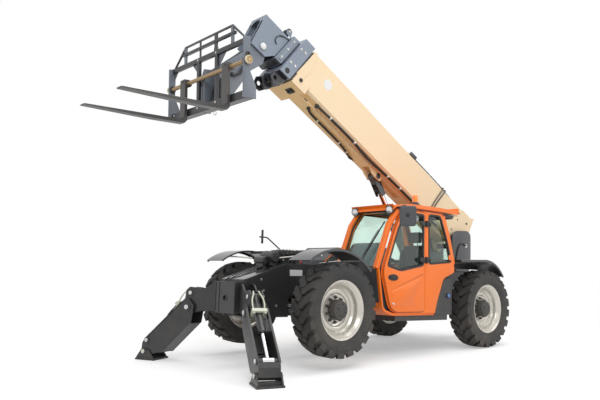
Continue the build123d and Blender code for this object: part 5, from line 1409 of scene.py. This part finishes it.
for y in (-0.230, 0.230):
    box(bm, (0.800, 0.850), (y - 0.030, y + 0.030), (RAIL_HIGH - 0.01, GUARD_LOW + 0.01))
on_carriage("fork_rails", bm, "guard_black", 0.006)
bm = bmesh.new()
for z, half, radius in ((-0.005, 0.612, 0.013), (-0.115, 0.668, 0.020)):
    box(bm, (0.826 - radius, 0.826 + radius), (-half, half), (z - radius, z + radius))
for s in (1, -1):
    prism(bm, [(s * 0.940, GUARD_HIGH - 0.020), (s * 0.910, GUARD_HIGH - 0.020), (s * 0.590, -0.018),
               (s * 0.612, 0.008)], 0.813, 0.839, axis="X")
box(bm, (0.815, 0.837), (-0.212, -0.188), (GUARD_HIGH - 0.002, -0.005))
# broad middle post, cut away at its foot
prism(bm, [(0.150, GUARD_HIGH), (0.262, GUARD_HIGH), (0.238, -0.200), (0.238, -0.010), (0.168, -0.010),
           (0.168, -0.190)], 0.8165, 0.8355, axis="X")
on_carriage("load_guard", bm, "guard_black", 0.003)
bm = bmesh.new()
for y in (-0.600, 0.600):
    box(bm, (0.812, 0.840), (y - 0.026, y + 0.026), (GUARD_HIGH - 0.002, -0.010))
on_carriage("load_guard_posts", bm, "carriage_grey", 0.004)
# gussets between the coupler's cheeks and the uprights, cross tube and back plate
bm = bmesh.new()
for s in (1, -1):
    prism(bm, [(s * 0.262, -0.322), (s * 0.420, -0.322), (s * 0.262, -0.480)], 0.802, 0.818, axis="X")
    prism(bm, [(s * 0.150, -0.940), (s * 0.205, -0.940), (s * 0.205, -0.520), (s * 0.150, -0.430)], 0.778, 0.800,
          axis="X")
    prism(bm, [(s * 0.935, -0.322), (s * 0.850, -0.322), (s * 0.935, -0.410)], 0.802, 0.818, axis="X")
on_carriage("coupler_gussets", bm, "carriage_grey", 0.003)
bm = bmesh.new()
rod(bm, (0.500, -0.128, -0.360), (0.500, 0.128, -0.360), 0.045, 24)
rod(bm, (0.640, -0.128, -0.930), (0.640, 0.128, -0.930), 0.035, 20)
prism(bm, [(0.560, -0.420), (0.575, -0.410), (0.730, -0.960), (0.715, -0.970)], -0.127, 0.127)
for y in (-0.222, 0.222):
    box(bm, (0.735, 0.775), (y - 0.020, y + 0.020), (RAIL_HIGH - 0.005, -0.640))
    rod(bm, (0.700, y, -0.640), (0.810, y, -0.640), 0.032, 20, 0.004)
on_carriage("coupler_inside", bm, "guard_black", 0.003)
# locking pin and its lever behind the near cheek
bm = bmesh.new()
rod(bm, (0.300, 0.150, -0.330), (0.300, 0.210, -0.330), 0.028, 20, 0.003)
prism(bm, eased([(0.290, -0.345), (0.315, -0.320), (0.420, -0.470), (0.500, -0.520), (0.545, -0.500), (0.560, -0.525),
                 (0.500, -0.560), (0.400, -0.510)], 0.012), 0.176, 0.190)
rod(bm, (0.545, 0.150, -0.515), (0.545, 0.198, -0.515), 0.022, 16, 0.003)
on_carriage("coupler_lock", bm, "gasket", 0.002, replaces=())
# ring under the lower rail
bm = bmesh.new()
ring_centre = Vector((0.780, 0.120, RAIL_LOW - 0.045))
ring_turns = [2 * pi * k / 24 for k in range(24)]
pipe(bm, [ring_centre + Vector((0.030 * cos(a), 0.010 * cos(a), 0.030 * sin(a))) for a in ring_turns],
     0.006, 8, closed=True)
rod(bm, (0.780, 0.120, RAIL_LOW + 0.004), (0.780, 0.120, RAIL_LOW - 0.018), 0.012, 12, 0.002)
on_carriage("rail_ring", bm, "zinc", 0.0, 50, replaces=())
# bolts at the uprights' feet
bm = bmesh.new()
for s in (1, -1):
    for z in (-0.985, -0.290):
        bolt(bm, (0.8495, s * 0.230, z), (1, 0, 0), 0.011, 0.009)
    for z in (-0.985, -1.025):
        bolt(bm, (0.8495, s * 0.880, z), (1, 0, 0), 0.011, 0.009)
on_carriage("rail_bolts", bm, "zinc", 0.0, replaces=())

# ---------------------------------------------------------------- forks
for side, s in SIDES:
    bm = bmesh.new()
    y = s * 0.540
    turned(bm, [(0.0305, -0.068), (0.0555, -0.068), (0.0555, 0.068), (0.0305, 0.068)], (0, 1, 0),
           (SHAFT[0], y, SHAFT[1]), 36)
    rod(bm, (0.868, y, -0.565), (0.925, y, -0.545), 0.012, 12, 0.002)
    place(f"fork_eye_{side}", bm, f"fork_{side}", "fork_steel", at=CARRIAGE, angle=50)

# ---------------------------------------------------------------- behind the cab
shroud = eased([(-0.800, 0.640), (-0.840, 0.900), (-0.840, 1.345), (-0.745, 1.412), (-0.374, 1.390),
                (-0.262, 1.335), (-0.262, 0.860), (-0.340, 0.640)], 0.075)
for side, s in SIDES:
    plate(f"upright_cover_{side}", [shroud], *sorted((s * 0.3225, s * 0.3400)), "chassis", "fender_black",
          "fender_plastic", soft=0.006)
    bm = bmesh.new()
    for x, z in ((-0.672, 1.120), (-0.440, 0.740), (-0.740, 0.740)):
        boss_r = 0.034 if z > 1 else 0.018
        rod(bm, (x, s * 0.338, z), (x, s * 0.352, z), boss_r, 24, 0.003)
    place(f"upright_cover_fixings_{side}", bm, "chassis", "label_white", angle=50)
    tube(f"upright_pipe_{side}", [(-0.330, s * 0.352, 0.700), (-0.360, s * 0.352, 0.900), (-0.430, s * 0.354, 1.100),
                                  (-0.520, s * 0.354, 1.165), (-0.620, s * 0.354, 1.150), (-0.672, s * 0.350, 1.120)],
         0.012, "chassis", "hose_rubber")
# ledge with the filler cap under the cab's rear corner
bm = bmesh.new()
rod(bm, (1.000, 1.138, 0.210), (1.000, 1.162, 0.210), 0.040, 28, 0.005)
place("filler_neck", bm, "chassis", "gasket", angle=50)
bm = bmesh.new()
rod(bm, (1.000, 1.160, 0.210), (1.000, 1.182, 0.210), 0.030, 24, 0.005)
place("filler_cap", bm, "chassis", "cap_blue", angle=50)

# ---------------------------------------------------------------- fenders' turned-down edges and stays
def arc_through(a, b, c, count):
    """Points on the arc from a to c by way of b."""
    (ax, az), (bx, bz), (cx, cz) = a, b, c
    d = 2 * (ax * (bz - cz) + bx * (cz - az) + cx * (az - bz))
    aa, bb, cc = ax * ax + az * az, bx * bx + bz * bz, cx * cx + cz * cz
    mx = (aa * (bz - cz) + bb * (cz - az) + cc * (az - bz)) / d
    mz = (aa * (cx - bx) + bb * (ax - cx) + cc * (bx - ax)) / d
    r, start, end = hypot(ax - mx, az - mz), atan2(az - mz, ax - mx), atan2(cz - mz, cx - mx)
    return [(mx + r * cos(start + (end - start) * k / count), mz + r * sin(start + (end - start) * k / count))
            for k in range(count + 1)]


front_edge = arc_through((WHEELBASE - 0.585, 0.548), (WHEELBASE - 0.020, 0.822), (WHEELBASE + 0.610, 0.650), 28)
rear_edge = arc_through((-0.496, 0.556), (-0.236, 0.768), (0.100, 0.826), 14) + [(0.770, 0.800)]
for side, s in SIDES:
    bm = bmesh.new()
    band(bm, front_edge, 0.038, *sorted((s * 1.2140, s * 1.2300)))
    band(bm, front_edge, 0.026, *sorted((s * 0.7950, s * 0.8080)))
    band(bm, rear_edge, 0.038, *sorted((s * 1.2390, s * 1.2550)))
    place(f"fender_edges_{side}", bm, "chassis", "fender_black", round_off=0.007)
    bm = bmesh.new()
    pipe(bm, [(WHEELBASE + 0.375, s * 0.330, 0.690), (WHEELBASE + 0.375, s * 0.700, 0.712),
              (WHEELBASE + 0.375, s * 1.200, 0.722)], 0.012, 12)
    pipe(bm, [(WHEELBASE - 0.400, s * 0.330, 0.640), (WHEELBASE - 0.400, s * 0.700, 0.672),
              (WHEELBASE - 0.400, s * 1.200, 0.678)], 0.012, 12)
    pipe(bm, [(0.380, s * 0.330, 0.740), (0.380, s * 1.220, 0.782)], 0.012, 12)
    place(f"fender_stays_{side}", bm, "chassis", "zinc", angle=50)
    # sheet between the rear fender and the uprights
    bm = bmesh.new()
    band(bm, rear_edge[4:], 0.010, *sorted((s * 0.345, s * 0.802)))
    place(f"rear_deck_sheet_{side}", bm, "chassis", "fender_black", round_off=0.003)
    bm = bmesh.new()
    prism(bm, [p for p in rear_edge if p[1] > 0.680] + [(0.770, 0.664), (-0.395, 0.664)],
          *sorted((s * 0.797, s * 0.806)))
    place(f"rear_arch_sheet_{side}", bm, "chassis", "fender_black", angle=20)

# ---------------------------------------------------------------- axles
for end, x in (("front", WHEELBASE), ("rear", 0.0)):
    bm = bmesh.new()
    # differential cover, steering cylinder and its rods
    back = -1 if end == "front" else 1
    turned(bm, [(0.0, 0.145), (0.070, 0.145), (0.125, 0.120), (0.150, 0.090), (0.150, 0.020), (0.0, 0.020)],
           (back, 0, 0), (x, 0, 0), 32, closed=False)
    for k in range(10):
        a = 2 * pi * k / 10
        bolt(bm, (x + back * 0.100, 0.136 * sin(a), 0.136 * cos(a)), (back, 0, 0), 0.009, 0.014)
    place(f"{end}_differential", bm, "chassis", "engine_iron", round_off=0.003)
    bm = bmesh.new()
    rod(bm, (x - back * 0.150, -0.260, 0.020), (x - back * 0.150, 0.260, 0.020), 0.044, 24, 0.004)
    for y in (-0.150, 0.150):
        box(bm, (x - back * 0.150 - 0.030, x - back * 0.150 + 0.030), (y - 0.020, y + 0.020), (-0.060, 0.060))
    place(f"{end}_steering_cylinder", bm, "chassis", "barrel_black", angle=50)
    bm = bmesh.new()
    rod(bm, (x - back * 0.150, -0.560, 0.020), (x - back * 0.150, 0.560, 0.020), 0.021, 20, 0.003)
    place(f"{end}_steering_rod", bm, "chassis", "chrome_rod", angle=50)

# ---------------------------------------------------------------- engine side
bm = bmesh.new()
for k in range(9):
    z = 0.430 + 0.044 * k
    prism(bm, [(-1.146, z + 0.002), (-1.142, z + 0.005), (-1.118, z + 0.030), (-1.122, z + 0.033)], 1.078, 1.832,
          axis="X")
for x in (1.330, 1.580):
    box(bm, (x - 0.006, x + 0.006), (-1.124, -1.112), (0.425, 0.815))
place("hood_louvres", bm, "hood", "gasket", round_off=0.001)
bm = bmesh.new()
box(bm, (1.560, 1.700), (-1.162, -1.148), (0.352, 0.392))
box(bm, (1.590, 1.670), (-1.170, -1.160), (0.362, 0.382))
place("hood_latch", bm, "hood", "gasket", round_off=0.005)
